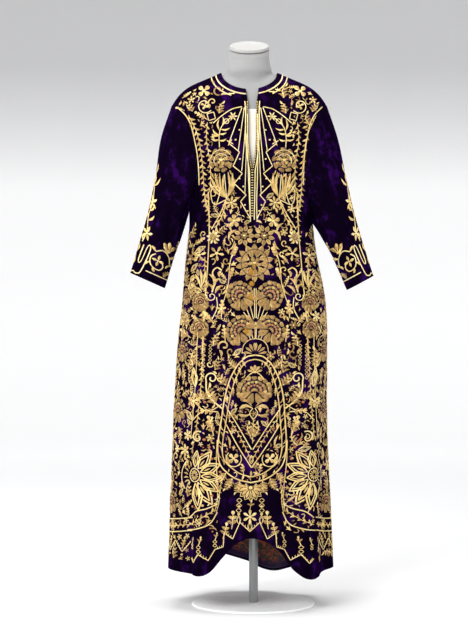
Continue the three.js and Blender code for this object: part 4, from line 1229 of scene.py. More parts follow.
def vine(points, spacing, reach, wide=1.1, spread=50, stem=0.6, tone=0.6, bud=0):
    """A stem with leaves set by turns on its two sides, and copper buds at every bud-th."""
    length = resampled(points, 2)[1]
    count = max(int(length / spacing), 1)
    line, _ = resampled(points, count + 1)
    parts = cord(points, stem, tone + 0.12)
    for k in range(1, count + 1):
        onward = line[k] - line[k - 1]
        heading = np.rad2deg(np.arctan2(onward[1], onward[0]))
        for number, sign, along in ((k, -1, 0.6), (k + 1, 1, 0.25)):
            far = reach * (1 if number % 2 else 0.72)
            way = turn(heading + sign * spread)
            start = line[k - 1] + onward * along
            shade = tone + 0.08 * (number % 3 - 1)
            parts += leaf(start, start + way * far, wide, -0.16 * sign, tone=shade)
            if bud and number % bud == 0:
                parts += dot(start + way * (far + 0.7), 0.75, 0.6, "copper")
    return parts


def dotted_band(points, apart, spacing, wide=0.8, tone=0.7):
    """Two parallel lines with a row of dots between them."""
    line, length = resampled(points, max(int(resampled(points, 2)[1] / 3), 4))
    onward = np.gradient(line, axis=0)
    side = unit(np.stack([-onward[:, 1], onward[:, 0]], -1))
    parts = cord(line - side * apart / 2, wide, tone) + cord(line + side * apart / 2, wide, tone)
    count = max(int(length / spacing), 1)
    middle, _ = resampled(points, count + 1)
    for a, b in zip(middle, middle[1:]):
        parts += dot((a + b) / 2, apart * 0.2, tone)
    return parts


def zigzag(corners, wide, ticks=()):
    """Straight lines from corner to corner, with small leaves standing at shares of them."""
    parts = []
    for a, b in zip(np.array(corners), np.array(corners)[1:]):
        parts += cord([a, b], wide, 0.8)
        for share in ticks:
            at = mix(a, b, share)
            parts += leaf(at, at + [0.4, -2.4], 0.9, 0.1, tone=0.72)
    return parts


def chain(a, b, count, wide=0.55, thick=0.5):
    """A row of small oval links from a to b."""
    a, b = np.array(a, float), np.array(b, float)
    parts = []
    for k in range(count):
        p, q = mix(a, b, (k + 0.08) / count), mix(a, b, (k + 0.92) / count)
        side = np.array([-(q - p)[1], (q - p)[0]]) * wide
        for bow in (side, -side):
            parts += cord([p, (p + q) / 2 + bow, q], thick, 0.7, piece=WHOLE)
    return parts


# ---- Embroidery: filling and laying -----------------------------------------------------
def covered(strokes, low, high):
    """Which squares of a sheet the strokes cover, grown by their half-widths."""
    size = (np.array(high) - low).astype(int) + 2
    taken = np.zeros(size, bool)
    points = np.concatenate([p for p, *_ in strokes])
    half = np.concatenate([w for _, w, *_ in strokes])
    for reach in (-1, 0, 1):
        for other in (-1, 0, 1):
            spot = (points + np.stack([reach * half, other * half], -1) - low).astype(int)
            ok = np.all((spot >= 0) & (spot < size), axis=1)
            taken[tuple(spot[ok].T)] = True
    return taken


def filled(strokes, inside, low, high, seed, passes):
    """Sprays set on an uneven grid wherever the sheet is still bare, in passes of (step of
    the grid, least and greatest size, clear room, shapes)."""
    low, high = np.array(low, float), np.array(high, float)
    chance = np.random.default_rng(seed)
    taken = covered(strokes, low, high)
    limits = np.array(taken.shape) - 1
    allowed = inside(*(np.indices(taken.shape) + 0.5 + low[:, None, None]))
    added = []
    for gap, least, most, room, shapes in passes:
        for y in np.arange(low[1], high[1], gap):
            for x in np.arange(low[0], high[0], gap):
                at = np.array([x, y]) + chance.uniform(-0.45, 0.45, 2) * gap
                way, reach = chance.uniform(-80, 80), chance.uniform(least, most)
                kind, tone = chance.integers(0, 6), chance.uniform(0.3, 0.8)
                cell = np.clip((at - low).astype(int), 0, limits)
                a, b = np.maximum(cell - room, 0), cell + room + 1
                if taken[a[0] : b[0], a[1] : b[1]].any():
                    continue
                new = placed(shapes(kind, tone), at, reach, way)
                spots = np.concatenate([p for p, *_ in new]) - low
                if not allowed[tuple(np.clip(spots.astype(int), 0, limits).T)].all():
                    continue
                added += new
                taken |= covered(new, low, high)
    return added


def branch(kind, tone):
    """One of six large filling shapes of unit size, centred on their place."""
    if kind < 2:
        return placed(acanthus(1, 3, 0.28, 0.35 - 0.7 * kind), (0, 0.5))
    if kind == 2:
        return placed(sprig(1, 3, 0.30, 46), (0, 0.5))
    if kind == 3:
        parts = placed(flower(6, 0.5, 0.2, tone=tone), size=0.46)
        return parts + leaf((0.3, 0.3), (0.7, 0.1), 0.2, 0.2)
    if kind == 4:
        parts = spiral((0, 0), 0.42, 90, 0.9, 0.13, tone=tone)
        return parts + leaf((0.1, 0.4), (0.6, 0.5), 0.2, -0.2)
    return placed(pointed_loop(1, 0.44), (0, 0.45)) + leaf((0.2, 0.5), (0.5, 0.1), 0.18, -0.2)


def spray(kind, tone):
    """One of six small filling shapes of unit size."""
    if kind < 2:
        parts = leaf((0, 0.5), (-0.42, -0.3), 0.26, 0.16, tone=tone)
        parts += leaf((0, 0.5), (0.44, -0.3), 0.26, -0.16)
        return parts + leaf((0, 0.4), (0, -0.62), 0.26, tone=tone + 0.1)
    if kind == 2:
        return placed(flower(5, 0.46, 0.15, tone=tone, knot=0.16), size=0.5)
    if kind == 3:
        parts = leaf((0, 0.5), (0.1, -0.6), 0.30, 0.2, tone=tone)
        return parts + leaf((0, 0.3), (0.5, -0.25), 0.24, -0.2)
    if kind == 4:
        parts = leaf((0, 0.55), (0.15, -0.5), 0.26, 0.24, tone=tone)
        return parts + dot((-0.3, -0.1), 0.15, 0.6, "copper")
    return cord([(-0.4, 0.4), (0.2, 0.3), (0.35, -0.2), (-0.05, -0.4)], 0.17, tone, piece=9)


def scrap(kind, tone):
    """One or two small leaves."""
    parts = leaf((0, 0.5), (0, -0.5), 0.34, 0.18, tone=tone)
    return parts + leaf((0, 0.4), (0.5, -0.1), 0.26, -0.18, tone=tone + 0.1) if kind > 3 else parts


# Passes of the filling: step of the grid, least and greatest size, clear room, shapes.
SPARSE = (7.0, 11.0, 15.0, 3, branch), (5.0, 7.0, 9.0, 2, branch), (4.6, 4.8, 6.4, 1, spray)
DENSE = (
    (6.0, 11.0, 16.0, 3, branch),
    (4.6, 7.0, 10.0, 2, branch),
    (3.6, 4.6, 6.6, 1, spray),
    (3.6, 3.0, 4.0, 1, scrap),
)
# A stroke's edges lie a little under the cloth, and its section is half an oval.
LIFT = -0.25
SECTION = np.linspace(0, PI, 4)


def embroider(name, strokes, place, thread):
    """Lays the strokes of one thread on a surface. Across a stroke, the place is -cos and
    the height is sin of an angle from 0 to 180 degrees; place gives the point of the
    surface for a column, a row and a height."""
    chosen = [s for s in strokes if s[4] == thread]
    line = np.stack([s[0] for s in chosen])
    half = np.stack([s[1] for s in chosen])
    high = np.array([s[2] for s in chosen])[:, None] * np.sqrt(half / half.max(1, keepdims=True))
    tone = np.array([s[3] for s in chosen])
    onward = unit(np.gradient(line, axis=1))
    side = np.stack([-onward[..., 1], onward[..., 0]], -1)
    across = -np.cos(SECTION)
    flat = line[:, :, None] + side[:, :, None] * (half[..., None] * across)[..., None]
    height = LIFT + (high[..., None] - LIFT) * np.sin(SECTION)
    points = place(flat[..., 0], flat[..., 1], height)
    count, columns = len(chosen), len(SECTION)
    each = SPINE * columns
    first = (np.arange(count) * each)[:, None, None]
    quads = (first + grid_quads(SPINE, columns, True)[None]).reshape(-1, 4)
    end = np.arange(columns)
    low = (first[:, 0] + end[None, ::-1]).reshape(-1, columns)
    top = (first[:, 0] + each - columns + end[None]).reshape(-1, columns)
    along = np.linalg.norm(np.diff(line, axis=1), axis=-1)
    along = np.insert(np.cumsum(along, axis=1), 0, 0, axis=1)[..., None] + 0 * across
    # rim paints a highlight along a broad stroke's edges and shade along its middle.
    rim = (np.abs(across) - 0.6) * np.clip(1.2 * half - 0.6, 0, 1)[..., None]
    length = SQUARE * MM
    thread_place = np.stack([along * length, half[..., None] * across * length, rim], -1)
    return make_piece(
        name, points.reshape(-1, 3), quads, (low, top),
        tone=np.repeat(tone, each), thread=thread_place.reshape(-1, 3),
    )


# The front sheet: its squares, and where column 234 and row 312 lie on the dress.
SQUARE = 2.716
SHEET_COLUMN, SHEET_ROW = 234.0, 312.0
SHEET_X, SHEET_Z = -54.6, 817.6


def sheet_place(column_number, row):
    return SHEET_X + (column_number - SHEET_COLUMN) * SQUARE, SHEET_Z - (row - SHEET_ROW) * SQUARE


def sheet_column(x):
    return (x - SHEET_X) / SQUARE + SHEET_COLUMN


def on_sheet(behind):
    """Columns and rows of the squared sheet, on the front or on the back."""

    def place(column_number, row, height):
        x, z = sheet_place(column_number, row)
        return raised(theta_at(x, z, behind), z, height)

    return place


# ---- Embroidery: the front's layout -----------------------------------------------------
# The middle of the front hangs a little to one side of the pole; columns of the sheet.
MIDDLE = table(
    "row column", (70, 252.4), (200, 253.2), (240, 254.6), (330, 255.8), (400, 254.2),
    (450, 252.0), (520, 249.8),
)


def middle(row):
    return np.interp(row, MIDDLE["row"], MIDDLE["column"])


def both_sides(strokes):
    """The strokes of the left half and their mirror image about the hanging middle."""
    return strokes + reshaped(
        strokes, lambda p: np.stack([2 * middle(p[:, 1]) - p[:, 0], p[:, 1]], -1)
    )


def yoke_pattern():
    """The left half of the front above the waist."""
    s = cord([(242, 104.6), (232, 107), (222, 113.5), (213, 121)], 1.1, 0.8)
    corners = [np.array([211, 114]) + 5.0 * turn(a) for a in (30, 120, 210, 300, 390)]
    s += zigzag(corners, 0.95)
    s += placed(scroll_ring(), (204.5, 102.5), 8.6, -20)
    s += placed(flower(4, 0.78, 0.16, -45, "fan", knot=0.22), (203.5, 86.5), 6.8)
    s += placed(acanthus(1, 3, 0.32, 0.2), (219, 111), 13, 10)
    s += placed(acanthus(1, 3, 0.3, -0.3), (192, 108), 12, -18)
    s += placed(sprig(1, 2, 0.34, 40), (184, 107), 9, -75)
    s += placed(flower(5, 0.5), (190.5, 95.5), 4)
    s += cord([(219.4, 146), (219, 134), (221.4, 125), (227, 119), (231, 115.5)], 1.0, 0.8)
    for a, b in (
        ((219.2, 138), (210.6, 137)), ((219.4, 139), (226.4, 137.4)), ((219, 133.6), (212.4, 127)),
        ((219, 134), (212, 132)), ((219.4, 129), (219, 117)), ((220.4, 127.4), (230, 126.4)),
        ((219, 132), (226.6, 131)), ((222, 124), (222.6, 114.6))
    ):
        s += leaf(a, b, 2.2, 0.16 * np.sign(b[0] - 219.5), tone=0.72)
    s += arc((226.4, 119.4), 2.4, 0, 360, 0.9, tone=0.8)
    s += placed(flower(6, 0.34, 0.1, -60, "leaf", 0.74, knot=0.12), (233, 114.4), 5.0)
    s += placed(rose(), (221, 158.5), 12.2)
    for end, wide in (
        ((209.5, 183), 2.4), ((211, 176), 2.8), ((215, 172), 3.0), ((219.4, 172), 2.4),
        ((223.5, 174), 2.4), ((228, 171), 2.8), ((232.5, 172), 3.0), ((235, 178), 2.4)
    ):
        s += leaf((226.5, 197), end, wide, 0.1 * np.sign(end[0] - 224), "drop", 0.56 + 0.02 * wide)
    s += leaf((213.5, 176.6), (211.4, 172.6), 1.4)
    s += leaf((231.6, 174), (229.6, 168.6), 1.6)
    s += cord([(226.4, 198), (224.4, 173)], 0.9, 0.85)
    s += cord([
        (225, 199), (214, 203), (210.6, 194), (212, 186.5), (217, 185), (219.5, 191), (216, 203)
    ], 1.1, 0.8)
    s += cord([(226, 198), (220, 212), (211, 228)], 1.2, 0.75)
    s += placed(flower(7, 0.4), (231, 201.5), 6.6, 10)
    s += placed(flower(5, 0.72, 0.1, shape="fan"), (234, 220), 6.4)
    for at, far in (
        ((230, 141), 4), ((229.5, 163.5), 3.4), ((231, 183), 3.4), ((238, 213), 3.2),
        ((241.5, 219), 3.0)
    ):
        s += placed(flower(4, 0.34, 0.05, -60, "leaf", 0.7, knot=0.12), at, far, at[0] % 1 * 90)
    # Lines that fan from the neck, and the zigzag that they end on.
    s += cord([(242, 105.6), (228.8, 142)], 1.0, 0.85)
    s += cord([(244.4, 105.6), (238.2, 150)], 1.0, 0.85)
    s += cord([(246, 104), (245.2, 130), (241.8, 170)], 1.0, 0.85)
    s += cord([(247, 132), (245.0, 192)], 0.95, 0.85)
    s += cord([(247.6, 112), (248.2, 165), (250.6, 221)], 1.1, 0.85)
    s += zigzag([
        (228.8, 142), (239.5, 151), (233.2, 165), (242.4, 172.5), (234.2, 182.5), (246.2, 194),
        (240.6, 200.5), (250.6, 218)
    ], 1.15)
    for at in (
        (239.6, 128.5), (235.6, 138.5), (240, 158), (239.6, 177.5), (243.4, 185.5), (245, 204),
        (247.8, 210)
    ):
        s += dot(at, 0.9, 0.85)
    # The vines beside the armhole, down to the waist.
    s += vine(
        [(188, 112), (197, 132), (201.6, 158), (203.5, 184), (205.5, 206)], 5.6, 5.6, 2.2, 46
    )
    s += vine([(207, 120), (206, 138), (209.5, 160), (210.5, 182), (207, 196)], 5.8, 4.6, 2.1, 42)
    s += vine([(226, 200), (222, 214), (216, 226), (214, 240)], 5.6, 6.2, 2.0, 42, 0.9)
    s += vine([(203.5, 190), (207.5, 208), (209, 226)], 4.6, 4.4, 1.5, 50)
    return s


def squeezed(strokes, across, upright):
    return reshaped(strokes, lambda p: p * [across, upright])


def waist_pattern():
    """The left half of the front from the waist to the top of the medallion."""
    s = placed(daisy(9), (244.3, 234.8), 10.8, 12)
    s += leaf((236.5, 229), (228.5, 240), 3.2, 0.25) + leaf((234.5, 240), (229.5, 249), 3.0, -0.2)
    s += placed(sprig(1, 3, 0.5, 36, bud=False), (231.0, 258), 14, 16)
    s += placed(sprig(1, 3, 0.5, 32, bud=False), (229.6, 279), 13, 6)
    s += leaf((224, 222), (231.5, 232), 2.6, -0.2)
    s += cord([(236, 243), (230, 262), (228, 285), (222, 306)], 0.9, 0.75)
    s += placed(flower(9, 0.36, 0.2, tone=0.78, knot=0.3), (213, 236), 7.2)
    s += placed(rose(), (213, 236), 3.6)
    s += placed(flower(5, 0.42, 0.1, -90, "drop", 0.66), (198.5, 254), 7.4)
    s += placed(flower(5, 0.40, 0.1, -60, "drop", 0.62), (216.5, 252.5), 7.6)
    s += cord([(208, 190), (208.6, 230), (207.2, 268), (204, 318), (202, 352)], 1.2, 0.72)
    for x, y in ((195.0, 273.5), (200.0, 268.6), (205.4, 270.0)):
        s += leaf((200.4, 288), (x, y), 2.8, 0.05, "drop", 0.72)
    s += leaf((199, 289), (192.6, 281), 2.2, -0.2) + leaf((202, 289), (208.4, 280), 2.2, 0.2)
    s += cord([(212, 292), (214.8, 281), (212.4, 272), (216.6, 267), (221.6, 269.6)], 1.6, 0.74)
    for a, b, wide, bow in (
        ((214, 284), (208.6, 273.4), 3.4, 0.25), ((214.2, 287), (220.6, 277.6), 3.4, -0.25),
        ((213, 291), (207.2, 283.4), 2.8, 0.25), ((215, 293), (223.4, 285), 3.0, -0.2),
        ((221.8, 270), (219.6, 277), 3.0, 0.3), ((222, 294), (227, 283), 2.6, 0.2)
    ):
        s += leaf(a, b, wide, bow, tone=0.62)
    s += spiral((211.5, 296), 5.0, 200, -1.2, 1.1, tone=0.8)
    s += cord([(216.5, 297), (217, 308), (211, 321)], 1.1, 0.8)
    s += placed(acanthus(1, 4, 0.28, 0.25), (190, 297), 20, -8)
    s += placed(acanthus(1, 4, 0.28, -0.2), (186, 326), 19, -10)
    s += placed(squeezed(peony(), 0.84, 1), (200, 302), 10, -14)
    s += placed(squeezed(peony(), 0.84, 1), (199.6, 328), 10.4, -14)
    s += placed(sprig(1, 3, 0.3, 46), (221, 318), 16, -6)
    s += placed(sprig(1, 3, 0.32, 50), (214, 324), 15, -50)
    s += placed(flower(5, 0.46), (221, 309), 5.4) + placed(sprig(1, 2, 0.36), (190, 338), 12, -62)
    s += placed(sprig(1, 3, 0.26, 44), (225, 342), 15, -14)
    s += placed(acanthus(1, 3, 0.3, 0.2), (213, 346), 15, 12)
    s += placed(squeezed(peony(), 0.84, 1.0), (240.4, 295.4), 16.0, -34)
    s += placed(squeezed(peony(), 1.0, 0.82), (239.6, 329.6), 16.4, -48)
    for a, b in (
        ((254.3, 288), (254.9, 318)), ((250, 305), (253.6, 319)), ((246.8, 309), (251.6, 321)),
        ((243.6, 312), (248, 318)), ((255.2, 322), (255.2, 338)), ((251.2, 330), (252.8, 338)),
        ((248, 333), (250.6, 339.6))
    ):
        s += cord([a, b], 0.95, 0.78)
    return s


def medallion_pattern():
    """The left half of the medallion and of what hangs from it."""
    s = cord([(256, 338.4), (249, 340), (243.6, 345.4), (242, 352.5)], 0.9, 0.7)
    s += placed(fanned((-92, -118, -144, -170), 3.4, 11.2, 2.7, 0, "drop", 0.55), (255, 354))
    s += cord([
        (255, 355), (248, 356.2), (243, 359.6), (237, 366), (229.6, 380), (224.6, 398), (221, 420),
        (217.6, 442), (217.6, 456), (220, 465), (226.4, 472), (237, 478.6), (251, 481.8)
    ], 1.5, 0.72)
    s += cord([
        (255, 359.2), (247, 361.4), (241, 368), (234.4, 382), (229.6, 400), (226, 421),
        (222.4, 442), (222.2, 454), (225, 461.4), (231, 467), (240, 473), (251, 476.2)
    ], 1.2, 0.66)
    for k in range(15):
        y = mix(366, 462, k / 14)
        x = np.interp(
            y, (366, 380, 398, 420, 442, 456, 462), (239.6, 232.2, 227.2, 223.6, 220, 219.8, 222.4)
        )
        s += leaf((x + 1.4, y + 3), (x - 1.4, y - 3), 1.5, 0.2 * (-1) ** k, tone=0.56)
    s += placed(palmette(5, 140, 0.26, 0.2, False), (254.6, 372.5), 9)
    s += cord([(254.6, 371), (248, 376), (241.8, 384.5), (239.2, 392)], 1.1, 0.7)
    for at, tilt, far in (
        ((246, 367), -40, 6), ((240.5, 375), -20, 6.5), ((236.5, 385), -12, 6.5),
        ((233, 396), -8, 6.8), ((231.2, 408), 4, 6.6), ((229.2, 420), -6, 6.2)
    ):
        s += placed(sprig(1, 2, 0.36, 50), at, far, tilt)
    s += leaf((252, 406), (240.5, 399.5), 3.0, 0.16, "drop", 0.6)
    s += leaf((252.6, 408), (239.6, 408), 4.0, 0.2, "drop", 0.62)
    s += leaf((251.4, 413), (238.4, 414), 3.4, -0.18, "drop", 0.55)
    s += cord([(252.8, 408), (249.6, 413), (252.6, 418.5)], 0.8, 0.8)
    s += placed(acanthus(1, 3, 0.30, 0.1), (250.8, 436), 15, -14)
    s += cord([(228, 410), (237, 424), (251.4, 449)], 1.2, 0.78)
    s += cord([(226.2, 424.5), (238, 446), (251.4, 467)], 1.2, 0.74)
    s += vine([(229, 418.5), (239, 434.5), (250.4, 457.5)], 5.0, 3.4, 1.5, 52, 0.5, 0.62, 3)
    for at in ((233, 428.5), (241, 441.5), (246, 451), (230, 447), (226, 451.5)):
        s += dot(at, 1.0, 0.6, "copper")
    s += placed(flower(4, 0.72, 0.1, -45, "fan"), (233.6, 458), 5.6)
    s += placed(sprig(1, 2, 0.36), (243.6, 474), 9, -18)
    s += arc((233.6, 458.4), 7.8, -30, 230, 1.0, tone=0.74)
    s += spiral((241.4, 466.4), 3.2, 200, 0.9, 0.9)
    s += leaf((228.4, 466), (224.8, 454), 2.6, 0.12) + leaf((229.6, 447), (227, 435), 2.4, 0.12)
    for base, angle, far in (
        ((232, 478), -152, 15), ((239.6, 480.6), -166, 14), ((225.4, 473), -140, 14),
        ((246, 482.6), 180, 10)
    ):
        s += placed(acanthus(1, 4, 0.3, 0.12), base, far, angle)
    s += placed(acanthus(1, 4, 0.28, 0.3), (236, 368), 14, -52)
    s += placed(acanthus(1, 4, 0.28, -0.3), (226, 385), 17, -26)
    s += placed(acanthus(1, 4, 0.30, 0.3), (215, 404), 20, -34)
    s += spiral((211.6, 378.4), 6.4, 150, 1.2, 1.5, tone=0.82)
    s += cord([(206, 381.6), (206.4, 391), (211, 399.6), (222, 408.6)], 1.7, 0.8)
    s += placed(acanthus(1, 4, 0.3, -0.2), (208, 398), 15, -66)
    return s


LANCES = ((-82, 25), (-54, 30), (-24, 29), (4, 27), (32, 29), (57, 34), (81, 35))
LANCE_BASE = 7.4


def rosette_heart():
    """Arcs round a row of small leaves, over half a turn to the right."""
    s = arc((0, 0), 6.8, -88, 88, 1.2, tone=0.8)
    return s + fanned(range(-75, 90, 30), 1.4, 5.2, 1.4, 0, "drop", 0.66)


def half_rosette(centre, facing):
    """Open pointed loops fanned over half a turn, to the right for 1 and left for -1."""
    s = rosette_heart()
    for k, (way, far) in enumerate(LANCES):
        s += placed(pointed_loop(1, 0.46), turn(way) * LANCE_BASE, far - LANCE_BASE, way + 90)
        between = turn(way + 15)
        s += leaf(between * 13, between * (far * 0.74), 1.5, 0.1, tone=0.62)
        s += dot(between * (far * 0.92), 1.3, 0.62, "copper" if k % 2 == 0 else "gold")
    return placed(s, centre, flip=facing < 0)


def skirt_pattern():
    """The left half of the front beside the medallion and down to the hem."""
    s = chain((203.4, 346), (202, 380), 9) + chain((210.4, 344), (209.8, 362), 5)
    s += cord([(222, 404), (212, 410), (202, 412), (192, 421)], 1.0, 0.76)
    s += placed(acanthus(1, 4, 0.26, 0.2), (192, 366), 19, 0)
    s += placed(pointed_loop(1, 0.3), (195, 388), 20, -6)
    s += placed(flower(6, 0.44), (193, 402), 6.6)
    s += placed(sprig(1, 3, 0.26, 40, bud=False), (217, 412), 18, -96)
    for at in ((204.6, 402.5), (208.6, 447.5), (211, 459), (204, 440)):
        s += dot(at, 1.4, 0.6, "copper")
    s += placed(sprig(1, 3, 0.30, 46), (213, 436), 18, -24)
    s += placed(sprig(1, 2, 0.34, 46), (206, 430), 12, 16)
    s += spiral((197.6, 438), 6.6, -60, -1.0, 1.5, tone=0.82)
    s += spiral((197.6, 438), 3.4, -60, -0.8, 1.0, tone=0.7)
    s += dotted_band([(217.4, 486), (217.6, 500), (214.6, 512)], 1.8, 3)
    s += cord([(216.8, 440), (215.8, 462), (217, 486)], 1.0, 0.7)
    s += vine([(221, 474), (219.6, 490), (214, 506)], 4.6, 3.6, 1.3)
    # Crescent of leaves under the rosette.
    s += cord([(186, 519), (196, 512), (207, 508.6), (216.6, 503.6)], 1.3, 0.8)
    s += cord([(184, 532), (196, 529.6), (209, 524), (216.6, 512)], 1.3, 0.78)
    s += vine([(186, 526), (198, 520.6), (213, 510.6)], 5.4, 5.0, 2.2, 44, 0.7)
    # Border along the hem.
    s += chain((239.4, 497), (238.6, 512), 3, 0.62, 0.7)
    s += placed(pointed_loop(1, 0.5, False), (238.6, 523), 9)
    s += dot((239.2, 505.5), 1.2) + dot((238.7, 513), 1.3)
    s += placed(sprig(1, 2, 0.36, 58), (231.6, 528), 15, -4)
    s += placed(sprig(1, 2, 0.34, 54), (222.4, 538), 14, 6)
    s += zigzag([
        (249.8, 530), (240, 521), (232.6, 537.6), (223.6, 532), (222.6, 546), (214, 549),
        (208, 560), (199, 554.5), (191.6, 564), (187, 560)
    ], 1.0, (0.25, 0.5, 0.75))
    for at, far in (((199, 554), 14), ((189, 551), 10), ((214, 547), 12)):
        s += chain(at, (at[0], at[1] - far * 0.62), 2, 0.6, 0.7)
        s += placed(sprig(0.5, 1, 0.2, 40), (at[0], at[1] - far * 0.6), far)
    return s


def centre_pattern():
    """What lies on the middle of the front and isn't mirrored."""
    s = placed(double_flower(14, 9), (254.8, 262.4), 19.6)
    for at, wide, high in (
        ((251.6, 271.5), 5.0, 6.4), ((251.8, 283.4), 6.0, 5.0), ((250.6, 297), 5.6, 5.6),
        ((246.4, 331.4), 6.0, 5.0), ((253.4, 265), 2.6, 4.4)
    ):
        s += leaf(
            (at[0], at[1] - high / 2), (at[0], at[1] + high / 2), wide, 0, "knot", 0.5, "mustard",
            3.0
        )
    s += placed(squeezed(peony(13, 262), 1.08, 0.86), (254.4, 389.6), 16.6)
    s += vine([(252.4, 443), (253, 430), (253.4, 418)], 4.4, 4.4, 1.5, 42)
    s += placed(pointed_loop(1, 0.5), (251.2, 463.6), 9)
    s += placed(palmette(9, 190, 0.22, 0.2), (250.6, 486), 14, 180)
    s += leaf((251, 470), (251, 476), 2.2, tone=0.6)
    s += placed(flower(6, 0.42, 0.1, -90, "drop", 0.72), (249.9, 515.5), 7.2)
    s += placed(sprig(1, 1, 0.4, 64), (250, 508), 7)
    s += placed(pointed_loop(1, 0.55, False), (249.8, 529), 8.6)
    return s


def across_zero(strokes):
    """The strokes and their mirror image about column 0."""
    return strokes + reshaped(strokes, lambda p: p * [-1, 1])


ROSETTE_ROW = 476.0


def gore_pattern(half):
    """A side gore's half, with columns from its middle line and the half-width of the gore
    in squares at a row given by half."""
    s = placed(acanthus(1, 4, 0.24, 0.25), (1.5, 268), 20, 8)
    s += placed(sprig(1, 3, 0.3, 44), (0.5, 252), 14, 2)
    wave = [(0.8 + 5.4 * (k % 2), 545 - 21 * k) for k in range(14)]
    s += vine(wave, 6.4, 5.4, 2.0, 46, 0.9, 0.66, 4)
    for row, size in ((296, 9), (352, 11), (412, 13), (505, 12)):
        s += placed(peony(9, 240), (half(row) * 0.42, row), size, 16 - (row % 7) * 3)
        s += placed(acanthus(1, 4, 0.26, 0.3), (half(row) * 0.42 + 4, row + 17), 15, 150)
        s += placed(acanthus(1, 4, 0.26, -0.3), (half(row) * 0.42 - 3, row - 11), 17, 14)
    edge = [(half(row) - 2.6, row) for row in (256, 320, 380, 440)]
    s += vine(edge, 5.2, 4.6, 1.7, 48) + cord([(x - 6.5, y) for x, y in edge[1:]], 0.9, 0.76)
    centre = half(ROSETTE_ROW), ROSETTE_ROW
    s += placed(rosette_heart(), centre, flip=True) + arc(centre, 19, 130, 232, 1.3, tone=0.78)
    for k in range(7):
        s += leaf(
            centre + turn(125 + 18 * k) * 9.5, centre + turn(131 + 18 * k) * 16, 1.8, 0.12,
            tone=0.6
        )
    for row in (519, 532):
        s += cord([(half(row), row), (half(row) * 0.5, row + 3.2), (0, row + 4.8)], 1.2, 0.8)
    s += vine([(half(526) - 1, 526), (half(526) * 0.5, 529), (0.5, 531)], 5.4, 5.0, 2.2, 44, 0.7)
    return hem_border(s, half(540) - 2, 549)


def hem_border(s, far, row):
    """A zigzag with small ticks and hanging sprigs, out to a column, near a row."""
    count = int(far / 9)
    corners = [np.array([far * k / count, row - 6 + 11 * (k % 2)]) for k in range(count + 1)]
    s += zigzag(corners, 1.0, (0.2, 0.4, 0.6, 0.8))
    for k in range(1, count, 2):
        s += placed(sprig(1, 2, 0.3, 44), corners[k] - [0, 3], 10) + dot(corners[k] + [0, 3], 1.1)
    return s


def sleeve_pattern():
    """A sleeve's front half: columns run from its outer line down its front, and rows
    upwards from its end as negative numbers."""
    s = cord([(20, -8.6), (46, -8.4)], 1.3, 0.85)
    s += cord([
        (0.5, -2.2), (2.8, -3.6), (5.2, -2.2), (7.8, -3.6), (10.4, -2.2), (13.4, -2.6), (16, -6),
        (18.6, -26), (18.4, -32), (16.6, -33), (14.8, -29), (13.2, -17), (11.8, -13.6),
        (10.0, -15), (9.6, -20), (10.6, -32)
    ], 1.25, 0.85)
    s += cord([(23, -30), (29, -33), (36, -29), (39, -22)], 1.2, 0.82)
    s += cord([
        (23.6, -28), (20.6, -24), (21.4, -18), (25, -14.6), (30, -14.4), (32.4, -18.6), (30.6, -22)
    ], 1.2, 0.82)
    s += placed(flower(4, 0.5, 0.14, -86, "leaf", 0.7, knot=0.16), (27, -22.5), 5.4)
    for a, b in (
        ((22.8, -30), (18.8, -33)), ((21, -19), (17.4, -14.4)), ((24.4, -15), (26.6, -11)),
        ((39, -22), (35, -18.4)), ((39, -22), (43.4, -25)), ((40, -29), (43, -34)),
        ((36, -29), (40.6, -32)), ((34, -31), (28, -36.4))
    ):
        s += leaf(a, b, 2.4, 0.12, "petal", 0.72)
    s += placed(palmette(3, 76, 0.34, 0.1, False), (34, -33.5), 11, -8)
    s += placed(sprig(1, 2, 0.34, 48), (42.5, -37), 10, -16)
    s += placed(acanthus(1, 3, 0.34, 0.5), (35, -10.4), 9, 26)
    s += cord([(36, -10), (41, -14), (45.6, -12.6)], 1.2, 0.8)
    s += cord([(8.6, -34), (10, -44), (7.4, -56), (9, -68), (5.6, -82), (2.2, -92)], 1.0, 0.78)
    for at, size, lean in (((10.6, -42), 6.2, 10), ((8.2, -67), 6.2, -20)):
        s += placed(flower(5, 0.44, 0.12, -90 + lean, "leaf", 0.72, knot=0.16), at, size)
    for at, size, lean in (
        ((8.4, -52), 8, 40), ((8, -53), 8, -50), ((8.4, -60), 6, 30), ((6, -80), 9, 34),
        ((5.6, -82), 9, -16), ((9, -35), 7, -48), ((3.4, -90), 9, 6), ((5, -12), 8, -20),
        ((5, -24), 8, 10)
    ):
        s += leaf(at, np.array(at) + turn(lean - 90) * size, 2.2, 0.14, tone=0.7)
    s += vine([(3, -10), (2.6, -34), (2, -60), (2.6, -84)], 5.6, 3.8, 1.5, 46)
    s += placed(flower(5, 0.44, 0.12), (0, -22), 4.6)
    return s


def seam_rosettes():
    """Half rosettes on the sheet at the two gore seams."""
    z = sheet_place(0, ROSETTE_ROW)[1]
    left, right = (sheet_column(column(SEAM, "z", side, z)) for side in ("left", "right"))
    return half_rosette((left, ROSETTE_ROW), 1) + half_rosette((right, ROSETTE_ROW), -1)


ARMHOLE_MARGIN = 7.0


def armhole_lines(face):
    """A line beside each armhole of the front or the back."""
    rows = np.arange(102.0, 186.0, 9.0)
    z = sheet_place(0, rows)[1]
    s = []
    for side, sign in (("left", 1), ("right", -1)):
        x = column(ARMHOLE, "z", f"{face}_{side}", z) + sign * ARMHOLE_MARGIN
        s += cord(np.stack([sheet_column(x), rows], -1), 1.2, 0.78)
    return s


